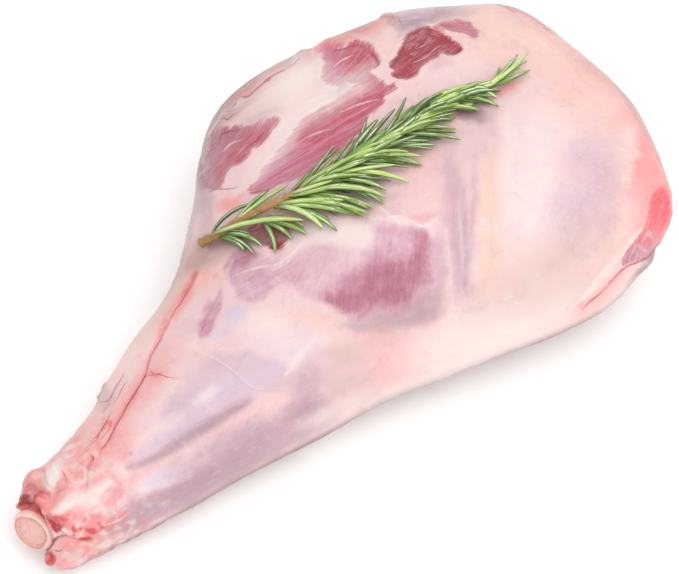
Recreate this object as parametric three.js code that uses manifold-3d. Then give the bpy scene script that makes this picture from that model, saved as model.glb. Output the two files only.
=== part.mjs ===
// A raw leg of lamb, lying on its side, with a sprig of rosemary laid over it.
// Millimetres, +Z up. X runs from the shank end to the rump end, +Y is the flank side,
// the floor is Z = 0, and the origin is on the floor under the middle of the leg.
import * as THREE from "three";
import { mergeVertices } from "three/addons/utils/BufferGeometryUtils.js";
import Module from "manifold-3d";

const wasm = await Module();
wasm.setup();

const { clamp, degToRad, lerp, smoothstep } = THREE.MathUtils;
const SAME_POINT = 1e-4; // points closer than this are one

// Closed body through a row of rings, each a list of points; both ends close on a middle point
function loft(rings, startMiddle, endMiddle) {
  const around = rings[0].length;
  const points = [...rings.flat(), startMiddle, endMiddle];
  const start = points.length - 2;
  const end = points.length - 1;
  const faces = [];
  rings.forEach((ring, r) => {
    for (let i = 0; i < around; i++) {
      const next = (i + 1) % around;
      const a = r * around + i;
      const b = r * around + next;
      if (r === 0) faces.push(start, b, a);
      if (r === rings.length - 1) {
        faces.push(end, a, b);
        continue;
      }
      faces.push(a, b, b + around, a, b + around, a + around);
    }
  });
  const geometry = new THREE.BufferGeometry().setFromPoints(points);
  geometry.setIndex(faces);
  return geometry;
}

function toSolid(geometry) {
  const bare = geometry.clone();
  bare.deleteAttribute("normal");
  bare.deleteAttribute("uv");
  const merged = mergeVertices(bare, SAME_POINT);
  return new wasm.Manifold(
    new wasm.Mesh({
      numProp: 3,
      vertProperties: merged.attributes.position.array,
      triVerts: new Uint32Array(merged.index.array),
    }),
  );
}

function toGeometry(solid) {
  const mesh = solid.getMesh();
  const geometry = new THREE.BufferGeometry();
  geometry.setAttribute("position", new THREE.BufferAttribute(mesh.vertProperties, 3));
  geometry.setIndex(new THREE.BufferAttribute(mesh.triVerts, 1));
  return geometry;
}

// The one body that is kept where a join leaves loose scraps or a sealed hollow
function largestPiece(solid) {
  return solid.decompose().reduce((best, piece) => (piece.volume() > best.volume() ? piece : best));
}

// Smooth curve through one column of a table of places along the leg
function through(table, column) {
  const slope = (i) => {
    const before = table[Math.max(i - 1, 0)];
    const after = table[Math.min(i + 1, table.length - 1)];
    return (after[column] - before[column]) / (after.x - before.x);
  };
  return (x) => {
    const i = clamp(table.findIndex((row) => row.x > x) - 1, 0, table.length - 2);
    const from = table[x >= table.at(-1).x ? table.length - 2 : i];
    const to = table[table.indexOf(from) + 1];
    const width = to.x - from.x;
    const t = clamp((x - from.x) / width, 0, 1);
    const t2 = t * t;
    const t3 = t2 * t;
    return (
      from[column] * (2 * t3 - 3 * t2 + 1) +
      slope(table.indexOf(from)) * width * (t3 - 2 * t2 + t) +
      to[column] * (3 * t2 - 2 * t3) +
      slope(table.indexOf(to)) * width * (t3 - t2)
    );
  };
}

// The leg: where its near edge, spine and far edge lie in plan, and how high it stands
const SHANK_END = -180;
const RUMP_END = 188;
const STATIONS = [
  { x: -182, near: -11, spine: 4, far: 25, top: 33 },
  { x: -155, near: -19, spine: 4, far: 33, top: 38 },
  { x: -136, near: -27, spine: 2, far: 34, top: 42 },
  { x: -95, near: -39, spine: 2, far: 46, top: 50 },
  { x: -57, near: -51, spine: 2, far: 54, top: 61 },
  { x: -23, near: -61, spine: 4, far: 77, top: 74 },
  { x: 5, near: -74, spine: 4, far: 97, top: 84 },
  { x: 21, near: -81, spine: 4, far: 106, top: 88 },
  { x: 47, near: -93, spine: 2, far: 109, top: 90 },
  { x: 86, near: -105, spine: -2, far: 100, top: 93 },
  { x: 124, near: -111, spine: -4, far: 93, top: 92 },
  { x: 155, near: -113, spine: -4, far: 79, top: 85 },
  { x: 190, near: -108, spine: -2, far: 70, top: 70 },
];
const nearEdge = through(STATIONS, "near");
const spineLine = through(STATIONS, "spine");
const farEdge = through(STATIONS, "far");
const topHeight = through(STATIONS, "top");
const RINGS = 58;
const RING_EASE = 1.35; // over 1, the rings stand closer towards the rump end
const RUMP_CAP = 0.4; // what the last ring leaves flat at the rump end
const AROUND = 50;
const ROUND_TOP = 2.15;
const ROUND_UNDER = 3;
const WAIST = 0.42; // height of the widest place, as a share of the top's
const SAG = 2; // how far the soft meat flattens on the floor
// Where each side of the plan begins to round off to the rump end, and how full the round is
const NEAR_CLOSING = { from: 72, fullness: 1.88 };
const FAR_CLOSING = { from: 105, fullness: 2.6 };
const TOP_CLOSING = { from: 80, fullness: 2.15 };
// The shank end: rounded over, dished round the bone, and slanting back to the far side
const SHANK_ROUND = 9;
const SHANK_MOUTH = 0.66; // size of the rounded end, as a share of the section behind it
const SHANK_RINGS = [0, 0.04, 0.16, 0.4, 0.7]; // where rings stand within the rounding, as shares of it
const SHANK_DISH = { share: 0.5, depth: 3, dip: 1 };
const SLANT = 0.3;
const SLANT_LENGTH = 70;

// Bone: the shin bone's lower end, sawn slantwise, and its shaft inside the shank
const BONE_FACE = new THREE.Vector3(-186, 10, 18);
const BONE_FACE_NORMAL = new THREE.Vector3(-0.9, -0.25, 0.36);
const BONE_INNER_END = new THREE.Vector3(-36, 8, 36);

const power = (value, exponent) => Math.sign(value) * Math.abs(value) ** exponent;

function closing({ from, fullness }, x) {
  const u = clamp((x - from) / (RUMP_END - from), 0, 1);
  return (1 - u ** fullness) ** (1 / fullness);
}

function sectionRing(x, share = 1) {
  const spine = spineLine(x);
  const nearHalf = (spine - nearEdge(x)) * closing(NEAR_CLOSING, x);
  const farHalf = (farEdge(x) - spine) * closing(FAR_CLOSING, x);
  const waist = topHeight(x) * WAIST;
  const ring = [];
  for (let i = 0; i < AROUND; i++) {
    const turn = (2 * Math.PI * i) / AROUND;
    const side = Math.cos(turn);
    const rise = Math.sin(turn);
    const round = rise >= 0 ? ROUND_TOP : ROUND_UNDER;
    const reach = (rise >= 0 ? topHeight(x) - waist : waist + SAG) * closing(TOP_CLOSING, x);
    const y = spine + (side >= 0 ? farHalf : nearHalf) * power(side, 2 / round);
    const z = Math.max(waist + reach * power(rise, 2 / round), 0);
    const point = new THREE.Vector3(x, y, z);
    point.y = lerp(BONE_FACE.y, point.y, share);
    point.z = lerp(BONE_FACE.z, point.z, share);
    point.x += SLANT * (point.y - BONE_FACE.y) * (1 - smoothstep(x, SHANK_END, SHANK_END + SLANT_LENGTH));
    ring.push(point);
  }
  return ring;
}

function shankShare(x) {
  const u = clamp((SHANK_END + SHANK_ROUND - x) / SHANK_ROUND, 0, 1);
  return lerp(SHANK_MOUTH, 1, Math.sqrt(1 - u * u));
}

// Muscles, hollows and creases of the surface: swells are in plan, creases follow a line on it
const SWELL_HEIGHTS = [15, 40]; // a swell comes in between these heights above the floor
const SWELLS = [
  { x: 80, y: -58, along: 48, across: 36, turn: 0, lift: 4 }, // rump
  { x: -4, y: -30, along: 34, across: 26, turn: -30, lift: 3 }, // inner round
  { x: -38, y: 12, along: 26, across: 14, turn: 40, lift: 2.5 }, // heel of the round
  { x: 40, y: 88, along: 40, across: 16, turn: -5, lift: 1.5 }, // flank roll
  { x: 170, y: 38, along: 28, across: 24, turn: -35, lift: 8 }, // lean corner of the rump
  { x: 142, y: -92, along: 14, across: 10, turn: 60, lift: 3 }, // lip of fat beside the rump slit
  { x: 106, y: 97, along: 20, across: 15, turn: -30, lift: -5.5 }, // flank cut
];
const CREASES = [
  { depth: 3, width: 15, path: [[87, -5, 95], [66, -30, 91], [46, -51, 83], [24, -68, 67]] },
  { depth: 2, width: 7, path: [[-156, -5, 37], [-110, -21, 42], [-53, -47, 42]] },
  { depth: -1.5, width: 10, path: [[-147, 0, 39], [-103, -2, 48], [-64, -7, 58]] },
  { depth: 4, width: 5, path: [[-52, 38, 56], [-93, 28, 45], [-122, 25, 39], [-145, 27, 32]] },
  { depth: -2.5, width: 6, path: [[-42, 55, 47], [-80, 44, 40], [-115, 33, 35]] },
  { depth: 4, width: 6, path: [[-18, 76, 46], [-13, 68, 57], [-12, 54, 67]] },
  { depth: 4.5, width: 6, path: [[132, -88, 58], [107, -97, 59], [88, -101, 54], [60, -95, 47]] },
  { depth: -2.5, width: 8, path: [[142, -93, 42], [122, -101, 38], [98, -106, 36]] },
];

function nearestOnPath(path, point) {
  let nearest = Infinity;
  for (let i = 0; i + 1 < path.length; i++) {
    const line = new THREE.Line3(new THREE.Vector3(...path[i]), new THREE.Vector3(...path[i + 1]));
    const foot = line.closestPointToPoint(point, true, new THREE.Vector3());
    nearest = Math.min(nearest, foot.distanceTo(point));
  }
  return nearest;
}

function relief(point) {
  let lift = 0;
  for (const { x, y, along, across, turn, lift: height } of SWELLS) {
    const c = Math.cos(degToRad(turn));
    const s = Math.sin(degToRad(turn));
    const u = ((point.x - x) * c + (point.y - y) * s) / along;
    const v = ((point.y - y) * c - (point.x - x) * s) / across;
    lift += height * Math.exp(-(u * u + v * v)) * smoothstep(point.z, ...SWELL_HEIGHTS);
  }
  for (const { depth, width, path } of CREASES) {
    lift -= depth * Math.exp(-((nearestOnPath(path, point) / width) ** 2));
  }
  return lift;
}

function legBlank() {
  const mouth = sectionRing(SHANK_END, SHANK_DISH.share);
  mouth.forEach((point) => (point.x += SHANK_DISH.depth));
  const rings = [mouth];
  for (const t of SHANK_RINGS) {
    const x = SHANK_END + t * SHANK_ROUND;
    rings.push(sectionRing(x, shankShare(x)));
  }
  const from = SHANK_END + SHANK_ROUND;
  for (let r = 0; r < RINGS; r++) {
    const t = r / (RINGS - 1);
    const eased = 1 - (1 - t) ** RING_EASE;
    rings.push(sectionRing(lerp(from, RUMP_END - RUMP_CAP, eased)));
  }
  const middleOf = (ring) =>
    ring.reduce((sum, p) => sum.add(p), new THREE.Vector3()).divideScalar(ring.length);
  const inner = middleOf(mouth);
  inner.x += SHANK_DISH.dip;
  const geometry = mergeVertices(loft(rings, inner, middleOf(rings.at(-1))), SAME_POINT);
  geometry.computeVertexNormals();
  const { position, normal } = geometry.attributes;
  for (let i = 0; i < position.count; i++) {
    const point = new THREE.Vector3().fromBufferAttribute(position, i);
    const out = new THREE.Vector3().fromBufferAttribute(normal, i);
    if (point.z === 0) continue;
    point.addScaledVector(out, relief(point));
    position.setXYZ(i, point.x, point.y, Math.max(point.z, 0));
  }
  return geometry;
}

// Knobs of gristle, tendon stumps and scraps round the sawn bone, each a tilted egg shape
const LUMPS = [
  { at: [-170, 25, 23], size: [8, 6.5, 7.5], tilt: [0, 0, 20] }, // hock knob
  { at: [-176, 22, 16], size: [7, 7, 8], tilt: [0, 0, 0] }, // torn lip beside the bone
  { at: [-160, 16, 33], size: [8, 5, 5], tilt: [0, 0, 15] }, // gristle
  { at: [-178, -3, 10], size: [12, 8, 9], tilt: [0, 0, 10] }, // tendon stump
  { at: [-170, -8, 9], size: [12, 5, 8], tilt: [0, 0, -15] }, // near corner
  { at: [-168, 1, 31], size: [9, 6, 5], tilt: [0, 15, 0] }, // end of the shin tendon
  { at: [124, 76, 61], size: [6, 4, 5], tilt: [0, 0, -40] }, // spur of fat beside the flank cut
];

const LUMP_SIDES = 16;
const LUMP_ROWS = 10;

function lump({ at, size, tilt }) {
  const geometry = new THREE.SphereGeometry(1, LUMP_SIDES, LUMP_ROWS);
  geometry.scale(...size);
  const turned = new THREE.Euler(...tilt.map(degToRad));
  geometry.applyMatrix4(new THREE.Matrix4().makeRotationFromEuler(turned));
  geometry.translate(...at);
  return toSolid(geometry);
}

// Bone profile: how far in from the sawn face, and the radius there
const BONE_PROFILE = [
  [0.5, 3.5],
  [0.3, 7],
  [1.1, 8],
  [0.1, 8.9],
  [0.5, 10.3],
  [2.5, 11],
  [8, 11.2],
  [22, 9.4],
  [60, 7.8],
  [112, 9],
  [138, 12],
  [147, 12.2],
  [150, 10],
];
const FACE_DEPTH = 2; // the rings and the groove of the sawn face lie within this
const STRAIGHT_BY = 40; // from here inwards the rings stand square to the shaft
const BONE_SIDES = 18;
const BONE_GAP = 0.3;
const BORE_REACH = 26; // how far the bore runs on past the sawn face

function boneBody(grow = 0, reach = 0) {
  const shaft = BONE_INNER_END.clone().sub(BONE_FACE);
  const length = shaft.length();
  shaft.normalize();
  const rings = [];
  const skin = BONE_PROFILE.filter(([inward]) => inward > FACE_DEPTH);
  const profile = grow ? [[-reach, skin[0][1]], ...skin] : BONE_PROFILE;
  for (const [inward, radius] of profile) {
    const centre = BONE_FACE.clone().addScaledVector(shaft, inward);
    const straight = smoothstep(inward, FACE_DEPTH, STRAIGHT_BY);
    const facing = BONE_FACE_NORMAL.clone().negate().lerp(shaft, straight).normalize();
    const turned = new THREE.Quaternion().setFromUnitVectors(new THREE.Vector3(1, 0, 0), facing);
    const ring = [];
    for (let i = 0; i < BONE_SIDES; i++) {
      const turn = (2 * Math.PI * i) / BONE_SIDES;
      const spoke = new THREE.Vector3(0, Math.cos(turn), Math.sin(turn));
      ring.push(spoke.multiplyScalar(radius + grow).applyQuaternion(turned).add(centre));
    }
    rings.push(ring);
  }
  const start = BONE_FACE.clone().addScaledVector(shaft, grow ? -reach : profile[0][0]);
  const end = BONE_FACE.clone().addScaledVector(shaft, length + grow);
  return toSolid(loft(rings, start, end));
}

// Rosemary: a woody stem lying along the leg, with pairs of narrow leaves
const STEM_PATH = [
  [-40.5, 47],
  [-21.5, 32.5],
  [-1, 21],
  [22, 11.5],
  [54, 6],
  [87, 1],
  [115, -4],
];
const STEM_RADIUS = { cut: 2.1, tip: 0.9 };
const STEM_SIDES = 8;
const STEM_STEPS = 34;
const STEM_LIFT = 1.2; // from the meat to the underside of the stem
const STEM_ARCH = 2; // how much higher the stem's middle stands on its leaves
const LEAF_ROWS = 32;
const LEAF_FROM = 0.03;
// The leaves of one row: degrees they turn from the stem in plan, and degrees they rise
const LEAF_ROW = [
  { turn: [18, 38], rise: [-4, 24] }, // far side
  { turn: [-34, -58], rise: [-4, 24] }, // near side
  { turn: [-24, 12], rise: [22, 42] }, // on top
];
const LEAF_NARROWING = 0.6; // how far the turn closes up at the tip
const LEAF_VARIETY = [0.8, 1.1];
const LEAF_LENGTH = { cut: 24, middle: 33, tip: 13, longest: 0.35 };
const LEAF_WIDTH = 2.3;
const LEAF_OUTLINE = [[0, 0.55], [0.35, 1], [0.72, 0.8]]; // along the leaf, and its width there
const LEAF_THICKNESS = 1.3;
const LEAF_CLEARANCE = 0.7;
const LEAF_DROOP = 3;
const LEAF_HEEL = 0.2; // how far a leaf's blunt end reaches back past the stem's middle
const ABOVE_ALL = 200;

// A fixed number from 0 to 1 for each whole number, so that the sprig always comes out alike
function chance(i) {
  const s = Math.sin(i * 12.9898) * 43758.5453;
  return s - Math.floor(s);
}

function topFinder(geometry) {
  const target = new THREE.Mesh(geometry, new THREE.MeshBasicMaterial({ side: THREE.DoubleSide }));
  const caster = new THREE.Raycaster();
  const down = new THREE.Vector3(0, 0, -1);
  return (x, y) => {
    caster.set(new THREE.Vector3(x, y, ABOVE_ALL), down);
    const hit = caster.intersectObject(target)[0];
    return hit ? hit.point.z : 0;
  };
}

function leafLength(t) {
  const { cut, middle, tip, longest } = LEAF_LENGTH;
  if (t < longest) return lerp(cut, middle, t / longest);
  return lerp(middle, tip, (t - longest) / (1 - longest));
}

function leafSolid(root, direction, length, topOf) {
  const across = new THREE.Vector3(0, 0, 1).cross(direction).normalize();
  const rings = [];
  for (const [t, share] of LEAF_OUTLINE) {
    const centre = root.clone().addScaledVector(direction, length * t);
    const wide = across.clone().multiplyScalar((share * LEAF_WIDTH) / 2);
    const under = [-1, 0, 1].map((side) => topOf(centre.x + side * wide.x, centre.y + side * wide.y));
    centre.z = Math.max(centre.z - LEAF_DROOP * t * t, Math.max(...under) + LEAF_CLEARANCE);
    const ridge = new THREE.Vector3(0, 0, share * LEAF_THICKNESS);
    rings.push([centre.clone().add(wide), centre.clone().add(ridge), centre.clone().sub(wide)]);
  }
  const tip = root.clone().addScaledVector(direction, length);
  tip.z = Math.max(tip.z - LEAF_DROOP, topOf(tip.x, tip.y) + LEAF_CLEARANCE);
  return toSolid(loft(rings, root.clone().addScaledVector(direction, -LEAF_HEEL), tip));
}

function sprigSolid(topOf) {
  const plan = new THREE.CatmullRomCurve3(STEM_PATH.map(([x, y]) => new THREE.Vector3(x, y, 0)));
  const stemAt = (t) => {
    const point = plan.getPointAt(t);
    const radius = lerp(STEM_RADIUS.cut, STEM_RADIUS.tip, t);
    point.z = topOf(point.x, point.y) + radius + STEM_LIFT + STEM_ARCH * Math.sin(Math.PI * t);
    return { point, radius };
  };
  const rings = [];
  for (let i = 0; i <= STEM_STEPS; i++) {
    const { point, radius } = stemAt(i / STEM_STEPS);
    const along = plan.getTangentAt(i / STEM_STEPS);
    const across = new THREE.Vector3(-along.y, along.x, 0);
    const ring = [];
    for (let s = 0; s < STEM_SIDES; s++) {
      const turn = (2 * Math.PI * s) / STEM_SIDES;
      const spoke = across.clone().multiplyScalar(Math.cos(turn) * radius);
      ring.push(point.clone().add(spoke).setZ(point.z + Math.sin(turn) * radius));
    }
    rings.push(ring);
  }
  const bodies = [toSolid(loft(rings, stemAt(0).point, stemAt(1).point))];
  for (let row = 0; row < LEAF_ROWS; row++) {
    const t = lerp(LEAF_FROM, 1, row / (LEAF_ROWS - 1));
    const { point } = stemAt(t);
    const along = plan.getTangentAt(t);
    for (let k = 0; k < LEAF_ROW.length; k++) {
      const seed = row * LEAF_ROW.length + k + 1;
      const turn = lerp(...LEAF_ROW[k].turn, chance(seed));
      const spread = degToRad(turn) * lerp(1, LEAF_NARROWING, t * t);
      const rise = degToRad(lerp(...LEAF_ROW[k].rise, chance(seed + 0.6)));
      const direction = along.clone().applyAxisAngle(new THREE.Vector3(0, 0, 1), spread);
      direction.multiplyScalar(Math.cos(rise)).setZ(Math.sin(rise));
      const length = leafLength(t) * lerp(...LEAF_VARIETY, chance(seed + 0.9));
      bodies.push(leafSolid(point, direction, length, topOf));
    }
  }
  return largestPiece(wasm.Manifold.union(bodies));
}

function named(name, solid, color, roughness) {
  const material = new THREE.MeshStandardMaterial({ color, roughness, metalness: 0 });
  const mesh = new THREE.Mesh(toGeometry(solid), material);
  mesh.name = name;
  return mesh;
}

const MEAT_COLOR = 0xe9c3c0;
const BONE_COLOR = 0xe6bfa5;
const LEAF_COLOR = 0x4f7d35;

const meat = wasm.Manifold.union([toSolid(legBlank()), ...LUMPS.map(lump)]);
const bored = largestPiece(meat.subtract(boneBody(BONE_GAP, BORE_REACH)));
const leg = named("leg", bored, MEAT_COLOR, 0.4);
const bone = named("shank_bone", boneBody(), BONE_COLOR, 0.5);
const sprig = named("rosemary_sprig", sprigSolid(topFinder(leg.geometry)), LEAF_COLOR, 0.5);

const object = new THREE.Group();
object.add(leg, bone, sprig);

export default object;
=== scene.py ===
# A raw leg of lamb with a sprig of rosemary laid over it, on a plain white floor.
# Metres, +Z up; the shank end points to -X. The photograph is 679 by 574 pixels.
import math

import bmesh
import bpy
import numpy as np
from mathutils import Matrix, Vector, noise
from mathutils.bvhtree import BVHTree


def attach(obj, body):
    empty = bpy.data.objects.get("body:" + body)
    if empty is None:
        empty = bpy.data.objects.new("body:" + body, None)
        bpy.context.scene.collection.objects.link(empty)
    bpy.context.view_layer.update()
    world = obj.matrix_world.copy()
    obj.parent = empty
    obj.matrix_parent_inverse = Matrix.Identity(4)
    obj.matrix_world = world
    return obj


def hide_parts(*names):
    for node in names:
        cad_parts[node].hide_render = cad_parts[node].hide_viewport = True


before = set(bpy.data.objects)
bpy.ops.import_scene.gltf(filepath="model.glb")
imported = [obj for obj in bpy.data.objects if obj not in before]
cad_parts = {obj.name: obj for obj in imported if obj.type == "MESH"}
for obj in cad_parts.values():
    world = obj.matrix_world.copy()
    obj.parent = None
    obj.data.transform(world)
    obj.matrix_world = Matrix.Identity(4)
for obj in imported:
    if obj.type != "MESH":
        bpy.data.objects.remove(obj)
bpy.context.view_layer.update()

# Camera: it looks down over the near side of the shank through a long lens,
# so that the leg runs from the lower left to the upper right of the picture.
PICTURE = np.array((679, 574))
LENS = 100
SENSOR = 36
CAMERA_TURN = math.radians(-46.4)
CAMERA_RISE = math.radians(55)
CAMERA_AIM = np.array((0.001, -0.002, 0.028))
CAMERA_DISTANCE = 0.909
to_right = np.array((math.cos(CAMERA_TURN), math.sin(CAMERA_TURN), 0))
to_eye = np.array((
    math.sin(CAMERA_TURN) * math.cos(CAMERA_RISE),
    -math.cos(CAMERA_TURN) * math.cos(CAMERA_RISE),
    math.sin(CAMERA_RISE),
))
to_top = np.cross(to_eye, to_right)
eye = CAMERA_AIM + CAMERA_DISTANCE * to_eye

lens = bpy.data.cameras.new("camera")
lens.lens = LENS
lens.sensor_width = SENSOR
camera = bpy.data.objects.new("camera", lens)
camera.matrix_world = Matrix([
    (to_right[i], to_top[i], to_eye[i], eye[i]) for i in range(3)
] + [(0, 0, 0, 1)])
bpy.context.scene.collection.objects.link(camera)
bpy.context.scene.camera = camera


def picture_places(points):
    """Where points of the room come in the photograph, in pixels."""
    offset = points - eye
    scale = PICTURE[0] * LENS / SENSOR / -(offset @ to_eye)
    across = PICTURE[0] / 2 + (offset @ to_right) * scale
    down = PICTURE[1] / 2 - (offset @ to_top) * scale
    return np.stack((across, down), 1)


def sight_line(place):
    """The direction in which the camera sees a pixel."""
    across, down = (np.array(place) - PICTURE / 2) * SENSOR / LENS / PICTURE[0]
    direction = Vector(across * to_right - down * to_top - to_eye)
    return direction.normalized()


# Studio: a wide white floor, an even white sky and one large soft lamp overhead, a little to the near side,
# which leaves the far side a little darker and hardly any shadow.
FLOOR_REACH = 4
FLOOR_WHITE = (0.96, 0.96, 0.96, 1)
FLOOR_GLOW = 0.11  # the floor is lit from below as well, so that hardly a shadow shows
SKY_STRENGTH = 0.88
LAMP_PLACE = Vector((0.15, -0.6, 1.15))
LAMP_SIZE = 1.6
LAMP_POWER = 8.0

corners = [(x, y, -0.0002) for x, y in ((-1, -1), (1, -1), (1, 1), (-1, 1))]
floor_mesh = bpy.data.meshes.new("floor")
floor_mesh.from_pydata([(x * FLOOR_REACH, y * FLOOR_REACH, z) for x, y, z in corners], [], [(0, 1, 2, 3)])
floor = bpy.data.objects.new("floor", floor_mesh)
bpy.context.scene.collection.objects.link(floor)
floor_paper = bpy.data.materials.new("white_paper")
floor_paper.use_nodes = True
paper = floor_paper.node_tree.nodes["Principled BSDF"]
paper.inputs["Base Color"].default_value = FLOOR_WHITE
paper.inputs["Roughness"].default_value = 0.9
paper.inputs["Specular IOR Level"].default_value = 0.1
paper.inputs["Emission Color"].default_value = (1, 1, 1, 1)
paper.inputs["Emission Strength"].default_value = FLOOR_GLOW
floor_mesh.materials.append(floor_paper)

sky = bpy.data.worlds.new("sky")
sky.use_nodes = True
sky.node_tree.nodes["Background"].inputs["Color"].default_value = (1, 1, 1, 1)
sky.node_tree.nodes["Background"].inputs["Strength"].default_value = SKY_STRENGTH
bpy.context.scene.world = sky
bpy.context.scene.view_settings.view_transform = "Standard"

lamp_light = bpy.data.lights.new("lamp", "AREA")
lamp_light.shape = "DISK"
lamp_light.size = LAMP_SIZE
lamp_light.energy = LAMP_POWER
lamp = bpy.data.objects.new("lamp", lamp_light)
lamp.location = LAMP_PLACE
lamp.rotation_euler = LAMP_PLACE.to_track_quat("Z", "Y").to_euler()
bpy.context.scene.collection.objects.link(lamp)

# Leg: muscles under a thin skin of fat and silvery membrane, cut from the carcass in one piece.
# It starts as a fine copy of the plain solid, is rounded off, and then gets its relief and colours.
COARSE = 0.00256
ROUNDING_STEPS = 15
SHANK_DETAIL = (-0.172, -0.135)  # the rounding fades out towards the knobs of the shank end
SHANK_END = -0.142  # from here on the mesh is finest
FINE_FACING = -0.12  # the mesh is made finer where the surface faces the camera at least this much
FINEST_FACING = -0.05  # and finer still here, at the shank end
FACING = (-0.3, 0.02)  # where the surface turns away from the camera, its painted marks end
MILLIMETRE = 0.001
PIXELS_PER_MILLIMETRE = 2.1
LONG_WANDER = 3.2  # how far a mark's edge wanders from the drawn line, in pixels: in long waves
SHORT_WANDER = 1.6  # and in short ones
EDGE_REACH = 12  # how far from a window's outline the distance to it counts, in pixels
PATCH_REACH = 1.6  # where a soft oval has faded out, in half sizes
OFF = 9.0  # a line too far away to show


def fine_copy(node, name, voxel):
    """A new piece with an even, fine mesh over the shape of a solid."""
    piece = bpy.data.objects.new(name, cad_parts[node].data.copy())
    bpy.context.scene.collection.objects.link(piece)
    remesh = piece.modifiers.new("fine", "REMESH")
    remesh.mode = "VOXEL"
    remesh.voxel_size = voxel
    graph = bpy.context.evaluated_depsgraph_get()
    mesh = bpy.data.meshes.new_from_object(piece.evaluated_get(graph))
    piece.modifiers.clear()
    piece.data = mesh
    mesh.materials.clear()
    mesh.shade_smooth()
    return piece


def soft_step(low, high, value):
    t = np.clip((value - low) / (high - low), 0, 1)
    return t * t * (3 - 2 * t)


leg = fine_copy("leg", "lamb_leg", COARSE)
leg_mesh = leg.data


def mesh_points():
    values = np.empty(len(leg_mesh.vertices) * 3, np.float32)
    leg_mesh.vertices.foreach_get("co", values)
    return values.reshape(-1, 3).astype(float)


def surface_normals():
    leg_mesh.vertices.foreach_set("co", points.astype(np.float32).ravel())
    leg_mesh.update()
    values = np.empty(len(points) * 3, np.float32)
    leg_mesh.vertex_normals.foreach_get("vector", values)
    return values.reshape(-1, 3).astype(float)


def rounded(steps):
    """The points of the mesh after each has moved a few times towards the mean of its neighbours."""
    moved = mesh_points()
    total = len(moved)
    ends = np.empty(len(leg_mesh.edges) * 2, np.int32)
    leg_mesh.edges.foreach_get("vertices", ends)
    first, second = ends.reshape(-1, 2).T
    ways = np.bincount(ends, minlength=total)
    share = 0.6 * (0.12 + 0.88 * soft_step(*SHANK_DETAIL, moved[:, 0]))[:, None]
    for step in range(steps):
        sums = [np.bincount(first, column[second], total) + np.bincount(second, column[first], total)
                for column in moved.T]
        moved += share * (np.stack(sums, 1) / ways[:, None] - moved)
    return moved


def refine(chosen):
    """Cuts every chosen point's edges in two, where both their ends are chosen."""
    body = bmesh.new()
    body.from_mesh(leg_mesh)
    body.verts.ensure_lookup_table()
    for vertex, flag in zip(body.verts, chosen):
        vertex.tag = bool(flag)
    edges = [edge for edge in body.edges if edge.verts[0].tag and edge.verts[1].tag]
    bmesh.ops.subdivide_edges(body, edges=edges, cuts=1, use_grid_fill=True)
    body.to_mesh(leg_mesh)
    body.free()
    leg_mesh.shade_smooth()


points = rounded(ROUNDING_STEPS)
normals = surface_normals()
refine(normals @ to_eye > FINE_FACING)
points = rounded(3)
normals = surface_normals()
refine((normals @ to_eye > FINEST_FACING) & (points[:, 0] < SHANK_END))
points = rounded(3)
normals = surface_normals()
count = len(points)


def ripple(size, seed=0, stretch=(1, 1, 1)):
    """Smooth noise over the surface, about -1 to 1, with waves of a given size in metres."""
    shift = Vector((seed * 7.3, seed * 3.1, seed * 5.7))
    return np.array([noise.noise(Vector(p) + shift) for p in points / (size * np.array(stretch))]) * 1.6


places = picture_places(points)
facing = soft_step(*FACING, normals @ to_eye)
strayed = places + np.stack((  # where a mark's edge comes when it wanders from the drawn line, in pixels
    ripple(0.012, 1) * LONG_WANDER + ripple(0.005, 2) * SHORT_WANDER,
    ripple(0.012, 3) * LONG_WANDER + ripple(0.005, 4) * SHORT_WANDER,
), 1)

# The marks of the surface, 0 to 1. Muscle shows where edge, in pixels inside its outline, is above 0.
# Cut and strand are the nearest dark line and white strand: how far off in widths, to one side or the
# other, and how far off in pixels. The dark lines are slits, and the painted shadow line where the
# meat meets the floor.
# Of these marks, the grey-brown one lays painted shade as well as duller tone, the white one painted
# highlights as well as gristle, and the lilac one painted sheen as well as membrane.
MARKS = ("tone", "veil", "mauve", "cool", "warm", "flush", "blood", "white", "dull", "fray", "cut_red")
marks = {name: np.zeros(count) for name in MARKS}
edge = np.full(count, -float(EDGE_REACH))
lines = {name: np.full(count, OFF) for name in ("cut", "cut_gap", "strand", "strand_gap")}
lift = np.zeros(count)  # millimetres along the normal
grain = np.stack((points[:, 0], points[:, 1] - 0.6 * points[:, 2], 0 * points[:, 0]), 1) / MILLIMETRE


def closed_curve(corners, steps=6):
    """A smooth closed outline through its corners."""
    here = np.array(corners, float)
    before, after, later = (np.roll(here, k, 0) for k in (1, -1, -2))
    t = (np.arange(steps) / steps)[:, None, None]
    bend = 2 * before - 5 * here + 4 * after - later
    twist = 3 * here - before - 3 * after + later
    curve = 0.5 * (2 * here + (after - before) * t + bend * t**2 + twist * t**3)
    curve = curve.transpose(1, 0, 2).reshape(-1, 2)
    return np.vstack((curve, curve[:1]))


def open_curve(corners, steps=6):
    """A smooth line through its corners."""
    if len(corners) == 2:
        return np.array(corners, float)
    first_corner = 2 * np.array(corners[0], float) - corners[1]
    last_corner = 2 * np.array(corners[-1], float) - corners[-2]
    ring = closed_curve([first_corner, *corners, last_corner], steps)
    return ring[steps:steps * len(corners) + 1]


def path_gap(spots, path):
    """How far each spot is from a path, at what share of its length and on which side, 1 or -1."""
    steps = np.diff(path, axis=0)
    lengths = np.linalg.norm(steps, axis=1)
    gap = np.full(len(spots), 1e9)
    share = np.zeros(len(spots))
    side = np.ones(len(spots))
    gone = 0
    for start, step, length in zip(path, steps, lengths):
        t = np.clip((spots - start) @ step / length**2, 0, 1)
        offset = spots - start - t[:, None] * step
        distance = np.linalg.norm(offset, axis=1)
        nearer = distance < gap
        gap[nearer] = distance[nearer]
        share[nearer] = (gone + t[nearer] * length) / lengths.sum()
        side[nearer] = np.where(step[0] * offset[nearer, 1] > step[1] * offset[nearer, 0], 1, -1)
        gone += length
    return gap, share, side


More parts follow.
